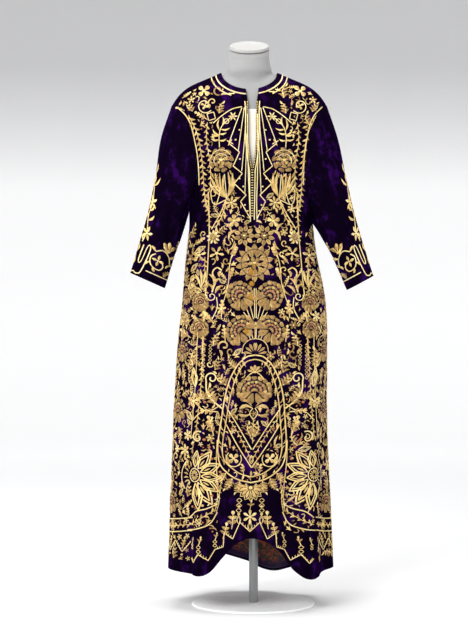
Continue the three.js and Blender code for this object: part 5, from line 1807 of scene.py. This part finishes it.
def back_pattern():
    """The back: a smaller medallion between the shoulders, flowers down the middle, and
    the skirt's medallion and rosettes."""
    upper = reshaped(medallion_pattern(), lambda p: p * [1, 0.9] + [0, -208])
    half = upper + waist_pattern() + medallion_pattern() + skirt_pattern()
    half += vine([(186, 112), (193, 132), (197, 158), (199, 184), (206, 206)], 5.2, 5.0, 1.8, 48)
    half += placed(rose(), (214, 110), 10.5) + placed(flower(6, 0.42), (203, 128), 7)
    half += placed(acanthus(1, 4, 0.24, 0.3), (203, 150), 18, -8)
    half += placed(acanthus(1, 4, 0.26, 0.3), (236, 108), 18, -50)
    whole = both_sides(half) + centre_pattern() + seam_rosettes()
    return whole + placed(peony(), (253.2, 145), 15) + placed(palmette(7, 170), (253, 92), 13, 180)


# ---- Settings ---------------------------------------------------------------------------
def tint_property(name, description, default):
    return bpy.props.FloatVectorProperty(
        name=name, description=description, default=default, size=3, min=0, max=1, subtype="COLOR"
    )


class BindalliCloth(bpy.types.PropertyGroup):
    """The velvet and its lining."""

    velvet_deep: tint_property("Velvet", "Colour of the velvet's ground", (0.0030, 0.0009, 0.0064))
    velvet_light: tint_property("Velvet sheen", "Colour of the pile's sheen", (0.065, 0.006, 0.20))
    crease_depth: bpy.props.FloatProperty(
        name="Crease depth", description="Share of the small creases' depth", default=1.0, min=0,
        max=2, subtype="FACTOR",
    )
    plain_hem: bpy.props.FloatProperty(
        name="Plain hem", description="Width of the plain band on the lining's hem", default=0.022,
        unit="LENGTH",
    )


class BindalliThreads(bpy.types.PropertyGroup):
    """The metal thread and the silks of the embroidery."""

    gold_bright: tint_property("Bright gold", "Colour of new metal thread", (0.90, 0.645, 0.23))
    gold_glint: tint_property(
        "Gold glint", "Colour of metal thread where it shines", (0.98, 0.86, 0.47)
    )
    gold_antique: tint_property(
        "Antique gold", "Colour of dull metal thread", (0.40, 0.235, 0.075)
    )
    salmon: tint_property("Salmon", "Colour of the roses inside the peonies", (0.52, 0.26, 0.13))
    copper: tint_property("Copper", "Colour of the buds", (0.46, 0.17, 0.055))
    mustard: tint_property("Mustard", "Colour of the bare padding", (0.36, 0.17, 0.012))
    # Dark silk laid between and along petals: partly outline stitching, partly painted shade
    # between petals and rows.
    outline: tint_property(
        "Outline", "Colour of the stitched lines on the flowers", (0.014, 0.004, 0.018)
    )


class BindalliForm(bpy.types.PropertyGroup):
    """The dress form and its stand."""

    bust: tint_property("Form", "Colour of the form's neck and bust", (0.265, 0.265, 0.262))
    cover: tint_property("Cover", "Colour of the form's lower cover", (0.74, 0.70, 0.62))
    cap: tint_property("Cap", "Colour of the neck's cap", (0.37, 0.365, 0.352))
    pole: tint_property("Pole", "Colour of the pole", (0.30, 0.305, 0.31))
    base: tint_property("Base", "Colour of the base plate", (0.86, 0.86, 0.86))


class BindalliStage(bpy.types.PropertyGroup):
    """The floor, the lights and the camera."""

    key_power: bpy.props.FloatProperty(
        name="Key light", description="Power of the large front light", default=190.0, unit="POWER"
    )
    fill_power: bpy.props.FloatProperty(
        name="Fill lights", description="Power of each side light", default=38.0, unit="POWER"
    )
    top_power: bpy.props.FloatProperty(
        name="Top light", description="Power of the light above the dress", default=120.0,
        unit="POWER"
    )
    lens: bpy.props.FloatProperty(
        name="Lens", description="Focal length of the camera", default=103.0, unit="CAMERA"
    )


# ---- Operators --------------------------------------------------------------------------
# Rows and columns of the fine grids.
SKIRT_ROWS, GUSSET_ROWS, YOKE_ROWS, UNDERARM_ROWS = 130, 18, 64, 24
FRONT_COLUMNS, BACK_COLUMNS, GORE_COLUMNS, UNDERARM_COLUMNS = 40, 80, 48, 40
SLEEVE_LINES, CUFF_LINES = 76, 12
BAND_ROWS, BAND_COLUMNS = 25, 131
LINING_ROWS, LINING_COLUMNS = 40, 90
# The neckband's ribs: how many, their height, and that of the ground between them.
RIBS, RIB_HEIGHT, RIB_GROUND = 3, 0.9, 0.3
# The lining reaches from this much over the hem to this step of the back, and starts at
# this share from each side.
LINING_LIFT, LINING_STEPS, LINING_SIDE = 8, 2, 1 / 18


class BINDALLI_OT_body(bpy.types.Operator):
    """Make the fronts, the back, the side gores and the underarm gussets"""

    bl_idname = "bindalli.body"
    bl_label = "Body panels"
    bl_options = {"REGISTER", "UNDO"}

    def execute(self, context):
        cloth = material("velvet", velvet, context.scene.bindalli_cloth)
        # Painted shade: the underarm gussets get a copy of the velvet darkened to 0.8, for the
        # shade under the arms.
        shade = material("velvet_gusset", velvet, context.scene.bindalli_cloth, 0.8)
        rows = steps(
            (0, SKIRT_STEPS, SKIRT_ROWS),
            (SKIRT_STEPS, NOTCH_ROW, GUSSET_ROWS),
            (NOTCH_ROW, PANEL_ROWS, YOKE_ROWS),
        )[:, None]
        low_rows = steps((0, SKIRT_STEPS, SKIRT_ROWS))[:, None]
        gusset_rows = steps((0, GUSSET_STEPS, UNDERARM_ROWS))[:, None]
        sewn = "start", "end", "top"
        for side in ("left", "right"):
            places = front_places(side, rows, eased(FRONT_COLUMNS)[None])
            front = panel(f"dress_front_{side}", *places, sewn)
            finish(front, cloth, [f"front_{side}"])
            places = gore_places(side, low_rows, eased(GORE_COLUMNS)[None])
            gore = panel(f"dress_side_gore_{side}", *places, sewn)
            finish(gore, cloth, [f"side_gore_{side}"])
            places = gusset_places(side, gusset_rows, eased(UNDERARM_COLUMNS)[None])
            gusset = panel(f"dress_underarm_{side}", *places, (*sewn, "bottom"))
            finish(gusset, shade, [f"underarm_{side}"])
        back = panel("dress_back", *back_places(rows, eased(BACK_COLUMNS)[None]), sewn)
        finish(back, cloth, ["back"])
        return {"FINISHED"}


class BINDALLI_OT_sleeves(bpy.types.Operator):
    """Make the sleeves and their plain cuffs"""

    bl_idname = "bindalli.sleeves"
    bl_label = "Sleeves and cuffs"
    bl_options = {"REGISTER", "UNDO"}

    def execute(self, context):
        cloth = material("velvet", velvet, context.scene.bindalli_cloth)
        half = SEAM_GAP / 2
        upper = np.linspace(0, CUFF_FROM, SLEEVE_LINES)
        lower = np.linspace(CUFF_FROM, 1, CUFF_LINES)
        for side in ("left", "right"):
            sleeve = sleeve_tube(f"dress_sleeve_{side}", side, upper, SEAM_GAP, half, True)
            finish(sleeve, cloth, [f"sleeve_{side}"])
            cuff = sleeve_tube(f"dress_cuff_{side}", side, lower, half, 0, False)
            finish(cuff, cloth, [f"cuff_{side}"])
        return {"FINISHED"}


class BINDALLI_OT_neckband(bpy.types.Operator):
    """Make the ribbed band round the neck"""

    bl_idname = "bindalli.neckband"
    bl_label = "Neckband"
    bl_options = {"REGISTER", "UNDO"}

    def execute(self, context):
        # Rows run from the outer line to the edge; the ribs are half sines across them.
        extra = np.linspace(NECKBAND_WIDTH, 0, BAND_ROWS)[:, None]
        along = np.linspace(0, 1, BAND_COLUMNS)[None]
        alpha = mix(slit_alpha(-1, extra), slit_alpha(1, extra) - 2 * PI, along)
        x, z, behind = neck_edge(alpha, extra)
        theta = theta_at(x, z, behind)
        normals = body_normal(theta, z)
        waves = np.abs(np.sin(extra / NECKBAND_WIDTH * RIBS * PI))
        ribs = RIB_HEIGHT * waves + RIB_GROUND
        outer = body_point(theta, z) + normals * ribs[..., None]
        outer[0] += unit(outer[1] - outer[0]) * SEAM_GAP / 2
        band = wall("dress_neckband", outer, outer - normals * (WALL + ribs[..., None]))
        ribbed = material("velvet_band", velvet, context.scene.bindalli_cloth, 1.7)
        finish(band, ribbed, ["neckband"])
        return {"FINISHED"}


class BINDALLI_OT_lining(bpy.types.Operator):
    """Make the printed lining inside the back hem"""

    bl_idname = "bindalli.lining"
    bl_label = "Lining"
    bl_options = {"REGISTER", "UNDO"}

    def execute(self, context):
        i = np.linspace(0, LINING_STEPS, LINING_ROWS)[:, None]
        s = np.linspace(LINING_SIDE, 1 - LINING_SIDE, LINING_COLUMNS)[None]
        theta, z = back_places(i, s)
        lifted = z + LINING_LIFT * np.maximum(1 - i, 0)
        points, normals = body_point(theta, lifted), body_normal(theta, lifted)
        outer = points - normals * (WALL + LINING_GAP)
        piece = wall("dress_lining_back", outer, outer - normals * LINING_WALL)
        plain = context.scene.bindalli_cloth.plain_hem / MM
        hem = np.clip(1.5 - (z + 0 * s - hem_z(theta)) / plain, 0, 1)
        shares = np.ones(len(piece.data.vertices))
        shares[: 2 * hem.size] = np.tile(hem.ravel(), 2)
        layer = piece.data.attributes.new("hem", "FLOAT", "POINT")
        layer.data.foreach_set("value", shares)
        finish(piece, material("lining", lining), ["lining_back"])
        return {"FINISHED"}


# ---- The dress form ---------------------------------------------------------------------
FORM_CLEAR = 8.0
COVER_TOP = 1376.0
FORM_FOOT = 800.0
# Above this height the rings of the neck start to tilt with the cap.
NECK_TOP = 1512.0
BUST_RINGS, COVER_RINGS = 56, 60
TORSO = table(
    "z half front back",
    (800, 158, 92, 98), (880, 163, 100, 110), (960, 150, 96, 98), (1060, 132, 92, 86),
    (1150, 143, 100, 88), (1250, 164, 114, 92), (1320, 184, 107, 92), (1376, 199, 97, 88),
    (1432, 206, 80, 86), (1490, 206, 60, 96),
)
NECK = table(
    "z radius",
    (1376, 30), (1440, 56), (1470, 60), (1487, 64), (1508, 59.5), (1529, 56), (1553, 55.5),
)
CAP_Z, CAP_TILT, CAP_RADIUS = 1553.0, np.deg2rad(22), 55.5
CAP_THICK, CAP_STEP, CAP_INSET = 11.0, 2.5, 6.0
POLE_RADIUS = 12.5
BASE_RADIUS, BASE_THICK = 172.0, 6.0


def form_centre(z):
    foot = ring(FORM_FOOT)[0]
    return mix(foot, TOP_SHIFT, smooth((z - FORM_FOOT) / (COVER_TOP - FORM_FOOT)))


def torso_radius(phi, z):
    """The torso's plan radius, by halving the step until the depth is met."""
    low, high = np.zeros(np.broadcast(phi, z).shape), np.full(np.broadcast(phi, z).shape, 260.0)
    half = column(TORSO, "z", "half", z)
    face = np.where(
        np.cos(phi) >= 0, column(TORSO, "z", "front", z), column(TORSO, "z", "back", z)
    )
    for _ in range(30):
        radius = (low + high) / 2
        out = radius * np.sin(phi)
        below = ridge(np.abs(form_centre(z) + out - TOP_SHIFT)) - FORM_CLEAR - z
        across = np.maximum(1 - (out / half) ** 2, 0)
        depth = face * np.sqrt(across * np.maximum(rounding_squared(below), 0))
        inside = (np.abs(radius * np.cos(phi)) < depth) & (np.abs(out) < half) & (below > 0)
        low, high = np.where(inside, radius, low), np.where(inside, high, radius)
    return low


def form_rings(z, sides=112):
    """Rings of the form: torso and neck joined by a tenth-power mean."""
    phi = (np.arange(sides)[None] + 0.5) / sides * 2 * PI
    z = np.asarray(z, float)[:, None]
    radius = (torso_radius(phi, z) ** 10 + column(NECK, "z", "radius", z) ** 10) ** 0.1
    x = form_centre(z) + radius * np.sin(phi)
    return np.stack([x, -radius * np.cos(phi), z + 0 * phi], -1)


class BINDALLI_OT_form(bpy.types.Operator):
    """Make the form's bust, cover and cap"""

    bl_idname = "bindalli.form"
    bl_label = "Dress form"
    bl_options = {"REGISTER", "UNDO"}

    def execute(self, context):
        tints = context.scene.bindalli_form
        heights = np.linspace(COVER_TOP + SEAM_GAP, NECK_TOP, BUST_RINGS)
        rings = form_rings(np.concatenate([heights, [NECK_TOP + 8, NECK_TOP + 18, CAP_Z]]))
        rings[-1, :, 2] = CAP_Z - 2 * SEAM_GAP + rings[-1, :, 1] * np.tan(CAP_TILT)
        for k, share in ((-2, 0.5), (-3, 0.2)):
            rings[k, :, 2] += rings[k, :, 1] * np.tan(CAP_TILT) * share
        bust = material("form_jersey", padded_form, colour(tints.bust), 900, 0.62)
        finish(ring_stack("form_torso", rings), bust, ["form_bust"])
        cover = material("form_cotton", padded_form, colour(tints.cover), 700, 0.85)
        lower = ring_stack(
            "form_lower_cover", form_rings(np.linspace(FORM_FOOT, COVER_TOP, COVER_RINGS))
        )
        finish(lower, cover, ["form_cover"])
        seat = CAP_RADIUS - CAP_INSET
        profile = rounded(
            [
                (0.01, 0, 0), (seat, 0, 1), (seat, CAP_STEP, 0.8), (CAP_RADIUS, CAP_STEP, 1.2),
                (CAP_RADIUS, CAP_THICK - 1, 1.6), (CAP_RADIUS - 1.6, CAP_THICK, 1),
                (CAP_RADIUS - 8, CAP_THICK, 0.6), (CAP_RADIUS - 8.6, CAP_THICK - 0.7, 0.4),
                (0.01, CAP_THICK - 0.7, 0)
            ]
        )
        cap = lathe("form_neck_cap", profile, (TOP_SHIFT, 0, CAP_Z), CAP_TILT)
        paint = material("cap_paint", brushed, colour(tints.cap), 0.0, 0.5, (30, 30, 300))
        finish(cap, paint, ["form_cap"])
        return {"FINISHED"}


class BINDALLI_OT_stand(bpy.types.Operator):
    """Make the pole and the base plate"""

    bl_idname = "bindalli.stand"
    bl_label = "Pole and base"
    bl_options = {"REGISTER", "UNDO"}

    def execute(self, context):
        tints = context.scene.bindalli_form
        foot, top = BASE_THICK + SEAM_GAP, FORM_FOOT - SEAM_GAP
        profile = rounded(
            [(0.01, foot, 0), (POLE_RADIUS, foot, 0.8), (POLE_RADIUS, top, 0.8), (0.01, top, 0)]
        )
        steel = material("pole_steel", brushed, colour(tints.pole), 0.75, 0.42, (500, 500, 3))
        finish(lathe("stand_pole", profile, sides=64), steel, ["pole"])
        profile = rounded(
            [
                (0.01, 0, 0), (BASE_RADIUS - 1, 0, 0.6), (BASE_RADIUS, 1, 0.6),
                (BASE_RADIUS, BASE_THICK - 2, 1.2), (BASE_RADIUS - 2, BASE_THICK, 1.2),
                (0.01, BASE_THICK, 0)
            ]
        )
        plate = material("base_paint", brushed, colour(tints.base), 0.0, 0.5, (90, 90, 90))
        finish(lathe("stand_base", profile, sides=160), plate, ["base_plate"])
        return {"FINISHED"}


# The backdrop in metres: its flat reach, the radius of its bend, and its height.
FLOOR_REACH, BEND_RADIUS, BACKDROP_TOP = 6.5, 3.0, 10.0
# Its own painted light: shares of a distance from the middle, and how bright it glows there. The
# glow fades to nothing near the middle, a painted shadow round the stand, and up the backdrop's
# wall, a painted fall-off of the light.
GLOW_REACH = 12.0
PAINTED_GLOW = (0.02, 0), (0.10, 0.08), (0.17, 0.19), (0.45, 0.49), (0.71, 0.49), (0.785, 0.42), (0.825, 0)
CAMERA_PLACE = -0.0546, -5.0, 0.818


def area_light(name, power, size, place, aim):
    """A rectangular light at a place, turned towards another."""
    lamp = bpy.data.lights.new(name, "AREA")
    lamp.energy, lamp.shape = power, "RECTANGLE"
    lamp.size, lamp.size_y = size
    lamp_object = bpy.data.objects.new(name, lamp)
    lamp_object.location = place
    direction = Vector(aim) - Vector(place)
    lamp_object.rotation_euler = direction.to_track_quat("-Z", "Y").to_euler()
    bpy.context.scene.collection.objects.link(lamp_object)


class BINDALLI_OT_stage(bpy.types.Operator):
    """Set up the pale floor, the soft lights and the camera"""

    bl_idname = "bindalli.stage"
    bl_label = "Studio"
    bl_options = {"REGISTER", "UNDO"}

    def execute(self, context):
        # The backdrop is a round floor that bends up in a quarter circle all round.
        settings = context.scene.bindalli_stage
        bend = np.linspace(0, PI / 2, 17)
        out, up = FLOOR_REACH + BEND_RADIUS * np.sin(
            bend
        ), BEND_RADIUS - BEND_RADIUS * np.cos(bend)
        reach = np.concatenate([[0.01, 3, 5], out, [FLOOR_REACH + BEND_RADIUS]])[:, None]
        height = np.concatenate([[0, 0, 0], up, [BACKDROP_TOP]])[:, None]
        around = np.linspace(0, 2 * PI, 96, endpoint=False)[None]
        points = np.stack(
            [reach * np.cos(around), reach * np.sin(around), height + 0 * around], -1
        )
        floor = bpy.data.meshes.new("studio_floor")
        quads = grid_quads(len(reach), around.size, True)
        floor.from_pydata(points.reshape(-1, 3).tolist(), [], quads.tolist())
        floor.polygons.foreach_set("use_smooth", np.ones(len(floor.polygons), bool))
        backdrop = bpy.data.objects.new("studio_floor", floor)
        context.scene.collection.objects.link(backdrop)
        f = Finish("studio_paper")
        away = f.add("VectorMath", {"operation": "LENGTH"}, Vector=f.place).outputs["Value"]
        stops = [(share, (tone,) * 3) for share, tone in PAINTED_GLOW]
        painted_glow = f.ramp(f.maths("DIVIDE", away, GLOW_REACH), *stops)
        f.feed(f.surface, Base_Color=(0.72, 0.72, 0.72, 1), Roughness=0.9, Specular_IOR_Level=0.1)
        # Painted light: the backdrop glows, with a painted shadow near the middle.
        f.feed(f.surface, Emission_Color=painted_glow, Emission_Strength=1.0)
        floor.materials.append(f.material)
        backdrop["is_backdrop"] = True
        area_light("studio_key", settings.key_power, (2.4, 1.8), (-1.9, -3.2, 3.0), (0, 0, 0.8))
        area_light("studio_left", settings.fill_power, (1.2, 2.4), (-3.2, 0.4, 1.6), (0, 0, 0.9))
        area_light("studio_right", settings.fill_power, (1.2, 2.4), (3.0, -1.2, 1.7), (0, 0, 0.9))
        area_light("studio_top", settings.top_power, (2.4, 1.6), (0, 0.3, 4.2), (0, 0, 0.5))
        world = bpy.data.worlds.new("studio_air")
        world.use_nodes = True
        air = world.node_tree.nodes["Background"]
        air.inputs["Color"].default_value = (0.94, 0.95, 1, 1)
        air.inputs["Strength"].default_value = 0.40
        context.scene.world = world
        context.scene.view_settings.view_transform = "Standard"
        camera = bpy.data.cameras.new("studio_camera")
        camera.lens, camera.sensor_width = settings.lens, 36
        camera_object = bpy.data.objects.new("studio_camera", camera)
        camera_object.location = CAMERA_PLACE
        camera_object.rotation_euler = (PI / 2, 0, 0)
        context.scene.collection.objects.link(camera_object)
        context.scene.camera = camera_object
        return {"FINISHED"}


# ---- Operators for the embroidery -------------------------------------------------------
def thread_material(thread):
    settings = bpy.context.scene.bindalli_threads
    if thread == "gold":
        return material("gold_thread", metal_thread, settings)
    tint = settings.outline if thread == "dark" else getattr(settings, thread)
    return material(f"{thread}_silk", silk, colour(tint))


def sew(name, strokes, place, nodes=()):
    """One piece for each thread of a pattern. The gold one stands for the nodes."""
    for thread in ("gold", "salmon", "copper", "mustard", "dark"):
        if any(s[4] == thread for s in strokes):
            piece = embroider(f"{name}_{thread}", strokes, place, thread)
            finish(
                piece, thread_material(thread), nodes if thread == "gold" else ()
            )


MOTIF_NODES = (
    ("motif_rose_left", "motif_rose_right"),
    (
        "motif_star_left", "motif_star_right", "motif_double_flower",
        "motif_peony_upper_left", "motif_peony_upper_right",
        "motif_peony_lower_left", "motif_peony_lower_right",
    ),
    ("motif_medallion", "motif_peony_centre"),
    (),
)


NECK_COLUMNS = 190.0
SLIT_END_ROW = 166.0


def on_neck(column_number, row, height):
    """Columns follow the neckband round from the slit's left corner, in squares of the
    line's length; rows count outwards from the band's outer edge."""
    extra = NECKBAND_WIDTH + row * SQUARE
    start, end = slit_alpha(-1, extra), slit_alpha(1, extra) - 2 * PI
    alpha = mix(start, end, column_number / NECK_COLUMNS)
    x, z, behind = neck_edge(alpha, extra)
    return raised(theta_at(x, z, behind), z, height)


def on_slit(sign):
    """Columns count outwards from the slit's edge; rows are those of the front sheet."""

    def place(column_number, row, height):
        z = sheet_place(0, row)[1]
        x = slit_edge(sign, z) + sign * column_number * SQUARE
        return raised(theta_at(x, z), z, height)

    return place


GORE_ROWS = np.arange(225.0, 575.0, 5.0)


def on_gore(side, halves):
    """Columns count from the gore's middle line, forwards first; rows as on the front.
    The gore's half-widths at GORE_ROWS are given."""

    def place(column_number, row, height):
        z = sheet_place(0, row)[1]
        share = 0.5 - column_number / (2 * np.interp(row, GORE_ROWS, halves))
        return raised(side_theta(side, share, z), z, height)

    return place


def gore_half(side, row):
    """Half of the gore's breadth in squares, as half the chord between its seams."""
    z = sheet_place(0, row)[1]
    seams = [body_point(side_theta(side, s, z), z) for s in (0.0, 0.25, 0.5, 0.75, 1.0)]
    return sum(np.linalg.norm(a - b, axis=-1) for a, b in zip(seams, seams[1:])) / 2 / SQUARE


# Squares from the sleeve's outer line to its inner one, and the lengths of those two
# lines that its share along would have at the pace it has near the end.
SLEEVE_COLUMNS = 46.0
SLEEVE_LENGTHS = 226.0, 403.0


def on_sleeve(side):
    """Columns follow the sleeve round from its outer line; rows run back from its end."""

    def place(column_number, row, height):
        angle = column_number * PI / SLEEVE_COLUMNS
        t = 1 + row * SQUARE / mix(*SLEEVE_LENGTHS, (1 + np.cos(angle)) / 2)
        return sleeve_surface(side, angle, t) + sleeve_normal(side, angle, t) * height[..., None]

    return place


HEM_MARGIN = 30.0
# Rows from which the ground under the medallion, and all of it, is left bare.
BARE_FROM = 490.0, 533.0
BARE_REACH = 33.0
# How far to each side of the slit the ground stays bare round the lines of the fan.
PLAIN_ROWS = (90, 96, 144, 150, 192, 218, 224)
PLAIN_REACH = (22, 34, 38, 23, 14, 4, 0)
# The bare oval round the neck, and the margins at the sides and under the shoulders.
NECK_REACH, NECK_DROP, NECK_DROP_BEHIND = 98, 76, 36
SIDE_MARGIN, SHOULDER_MARGIN, SHOULDER_LIMIT = 4, 14, 8


def clear_of_edges(x, row, behind):
    """Whether a place on the front or back sheet is clear of seams, neck, slit and hem."""
    wx, wz = sheet_place(x, row)
    face = "back" if behind else "front"
    left, right = (
        np.where(
            wz > NOTCH_Z, column(ARMHOLE, "z", f"{face}_{side}", wz), column(SEAM, "z", side, wz)
        ) for side in ("left", "right")
    )
    from_neck, from_middle = wx - TOP_SHIFT, abs(x - middle(row))
    drop = NECK_DROP_BEHIND if behind else NECK_DROP
    neck = np.hypot(from_neck / NECK_REACH, (wz - RIDGE["z"][0]) / drop) > 1
    slit = behind | (from_middle > np.interp(row, PLAIN_ROWS, PLAIN_REACH))
    hem = hem_z(theta_at(wx, wz, behind)) + HEM_MARGIN
    across = (left + SIDE_MARGIN < wx) & (wx < right - SIDE_MARGIN)
    across &= (row < BARE_FROM[0]) | (from_middle > BARE_REACH) & (row < BARE_FROM[1])
    return across & (hem < wz) & (wz < ridge(abs(from_neck)) - SHOULDER_MARGIN) & neck & slit


def clear_on_gore(x, row, side, halves):
    """Whether a place on a gore's sheet is clear of its seams, its hem and its point."""
    half = np.interp(row, GORE_ROWS, halves)
    z, share = sheet_place(0, row)[1], abs(x) / half
    hem = hem_z(side_theta(side, 0.5 - 0.5 * x / half, z)) + HEM_MARGIN
    return (share < 0.96) & (hem < z) & (z < GORE_Z - 12 + 60 * (1 - share))


def on_cloth(strokes, face):
    """The strokes without those that reach past an armhole or the shoulder."""
    x, row = np.moveaxis(np.stack([s[0] for s in strokes]), -1, 0)
    wx, wz = sheet_place(x, row)
    left, right = (column(ARMHOLE, "z", f"{face}_{side}", wz) for side in ("left", "right"))
    ok = (left < wx) & (wx < right) & (wz < ridge(abs(wx - TOP_SHIFT)) - SHOULDER_LIMIT)
    ok = np.all(ok | (wz < NOTCH_Z), axis=1)
    return [s for s, good in zip(strokes, ok) if good]


# Rows at which a sheet's embroidery is cut into pieces.
SHEET_CUTS = (0, 215, 338, 452, 700)


def sew_in_parts(name, strokes, place, nodes=None):
    """One set of pieces for each band of rows."""
    for k, (top, foot) in enumerate(zip(SHEET_CUTS, SHEET_CUTS[1:])):
        band = [s for s in strokes if top <= s[0][:, 1].mean() < foot]
        sew(f"{name}_{k + 1}", band, place, nodes[k] if nodes else ())


class BINDALLI_OT_front_embroidery(bpy.types.Operator):
    """Sew the gold flowers, the medallion and the vines of the front"""

    bl_idname = "bindalli.front_embroidery"
    bl_label = "Front embroidery"
    bl_options = {"REGISTER", "UNDO"}

    def execute(self, context):
        half = yoke_pattern() + waist_pattern() + medallion_pattern() + skirt_pattern()
        strokes = both_sides(half) + centre_pattern() + seam_rosettes() + armhole_lines("front")
        strokes = on_cloth(strokes, "front")
        bare = partial(clear_of_edges, behind=False)
        strokes += filled(strokes, bare, (165, 70), (345, 560), 7, DENSE)
        sew_in_parts("front_gold", strokes, on_sheet(False), MOTIF_NODES)
        return {"FINISHED"}


class BINDALLI_OT_back_embroidery(bpy.types.Operator):
    """Sew the embroidery of the back"""

    bl_idname = "bindalli.back_embroidery"
    bl_label = "Back embroidery"
    bl_options = {"REGISTER", "UNDO"}

    def execute(self, context):
        strokes = on_cloth(back_pattern() + armhole_lines("back"), "back")
        bare = partial(clear_of_edges, behind=True)
        strokes += filled(strokes, bare, (165, 70), (345, 575), 11, DENSE)
        sew_in_parts("back_gold", strokes, on_sheet(True))
        return {"FINISHED"}


class BINDALLI_OT_side_embroidery(bpy.types.Operator):
    """Sew the embroidery of the side gores and the sleeves"""

    bl_idname = "bindalli.side_embroidery"
    bl_label = "Gores and sleeves"
    bl_options = {"REGISTER", "UNDO"}

    def execute(self, context):
        for seed, side in ((21, "left"), (22, "right")):
            halves = [gore_half(side, row) for row in GORE_ROWS]
            bare = partial(clear_on_gore, side=side, halves=halves)
            strokes = across_zero(gore_pattern(partial(gore_half, side)))
            strokes += filled(strokes, bare, (-70, 232), (70, 565), seed, SPARSE)
            sew(f"gore_gold_{side}", strokes, on_gore(side, halves))
            sew(f"sleeve_gold_{side}", across_zero(sleeve_pattern()), on_sleeve(side))
        return {"FINISHED"}


class BINDALLI_OT_edge_embroidery(bpy.types.Operator):
    """Sew the lines round the neck and the braids beside the slit"""

    bl_idname = "bindalli.edge_embroidery"
    bl_label = "Neck and slit"
    bl_options = {"REGISTER", "UNDO"}

    def execute(self, context):
        # Two lines round the neck, the outer one leaving the inner at the front, and for
        # each side of the slit two lines with a row of stitches between them.
        end = NECK_COLUMNS
        neck = cord([(0.5, 1.0), (end - 0.5, 1.0)], 1.5, 0.85)
        neck += cord([
            (11, 2.2), (17, 4.8), (26, 5.6), (end - 26, 5.6), (end - 17, 4.8), (end - 11, 2.2)
        ], 1.3, 0.8)
        sew("gold_neckline", neck, on_neck)
        top, foot = 98.8, 217.0
        for name, sign in (("left", -1), ("right", 1)):
            braid = cord([(0.5, top), (0.5, SLIT_END_ROW)], 0.5, 0.6)
            braid += cord([(2.9, top), (2.8, 150), (2.7, 180), (2.0, foot + 2)], 1.2, 0.86)
            for row in np.linspace(top + 1, foot - 2, 46):
                braid += dot((0.5, row), 0.55, 0.8)
            sew(f"gold_slit_braid_{name}", braid, on_slit(sign), [f"slit_braid_{name}"])
        return {"FINISHED"}


# ---- Panel and registration -------------------------------------------------------------
BUILDERS = (
    BINDALLI_OT_stage,
    BINDALLI_OT_body,
    BINDALLI_OT_sleeves,
    BINDALLI_OT_neckband,
    BINDALLI_OT_lining,
    BINDALLI_OT_form,
    BINDALLI_OT_stand,
    BINDALLI_OT_edge_embroidery,
    BINDALLI_OT_front_embroidery,
    BINDALLI_OT_back_embroidery,
    BINDALLI_OT_side_embroidery,
)
SETTINGS = {
    "bindalli_cloth": BindalliCloth,
    "bindalli_threads": BindalliThreads,
    "bindalli_form": BindalliForm,
    "bindalli_stage": BindalliStage,
}


class BINDALLI_PT_panel(bpy.types.Panel):
    """Lists the pieces of the dress and their settings"""

    bl_idname = "BINDALLI_PT_panel"
    bl_label = "Bindalli Dress"
    bl_space_type = "VIEW_3D"
    bl_region_type = "UI"
    bl_category = "Bindalli"

    def draw(self, context):
        for builder in BUILDERS:
            self.layout.operator(builder.bl_idname)
        for key, group in SETTINGS.items():
            box = self.layout.box()
            for name in group.__annotations__:
                box.prop(getattr(context.scene, key), name)


def register():
    for cls in (*SETTINGS.values(), *BUILDERS, BINDALLI_PT_panel):
        bpy.utils.register_class(cls)
    for key, group in SETTINGS.items():
        setattr(bpy.types.Scene, key, bpy.props.PointerProperty(type=group))


def unregister():
    for key in SETTINGS:
        delattr(bpy.types.Scene, key)
    for cls in reversed((*SETTINGS.values(), *BUILDERS, BINDALLI_PT_panel)):
        bpy.utils.unregister_class(cls)


def plain(value):
    return [plain(v) for v in value] if hasattr(value, "__len__") else float(value)


def main():
    register()
    for builder in BUILDERS:
        group, name = builder.bl_idname.split(".")
        getattr(getattr(bpy.ops, group), name)()
    {"cad": plain(CAD_BOX), "visual": plain(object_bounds())}


if __name__ == "__main__":
    main()
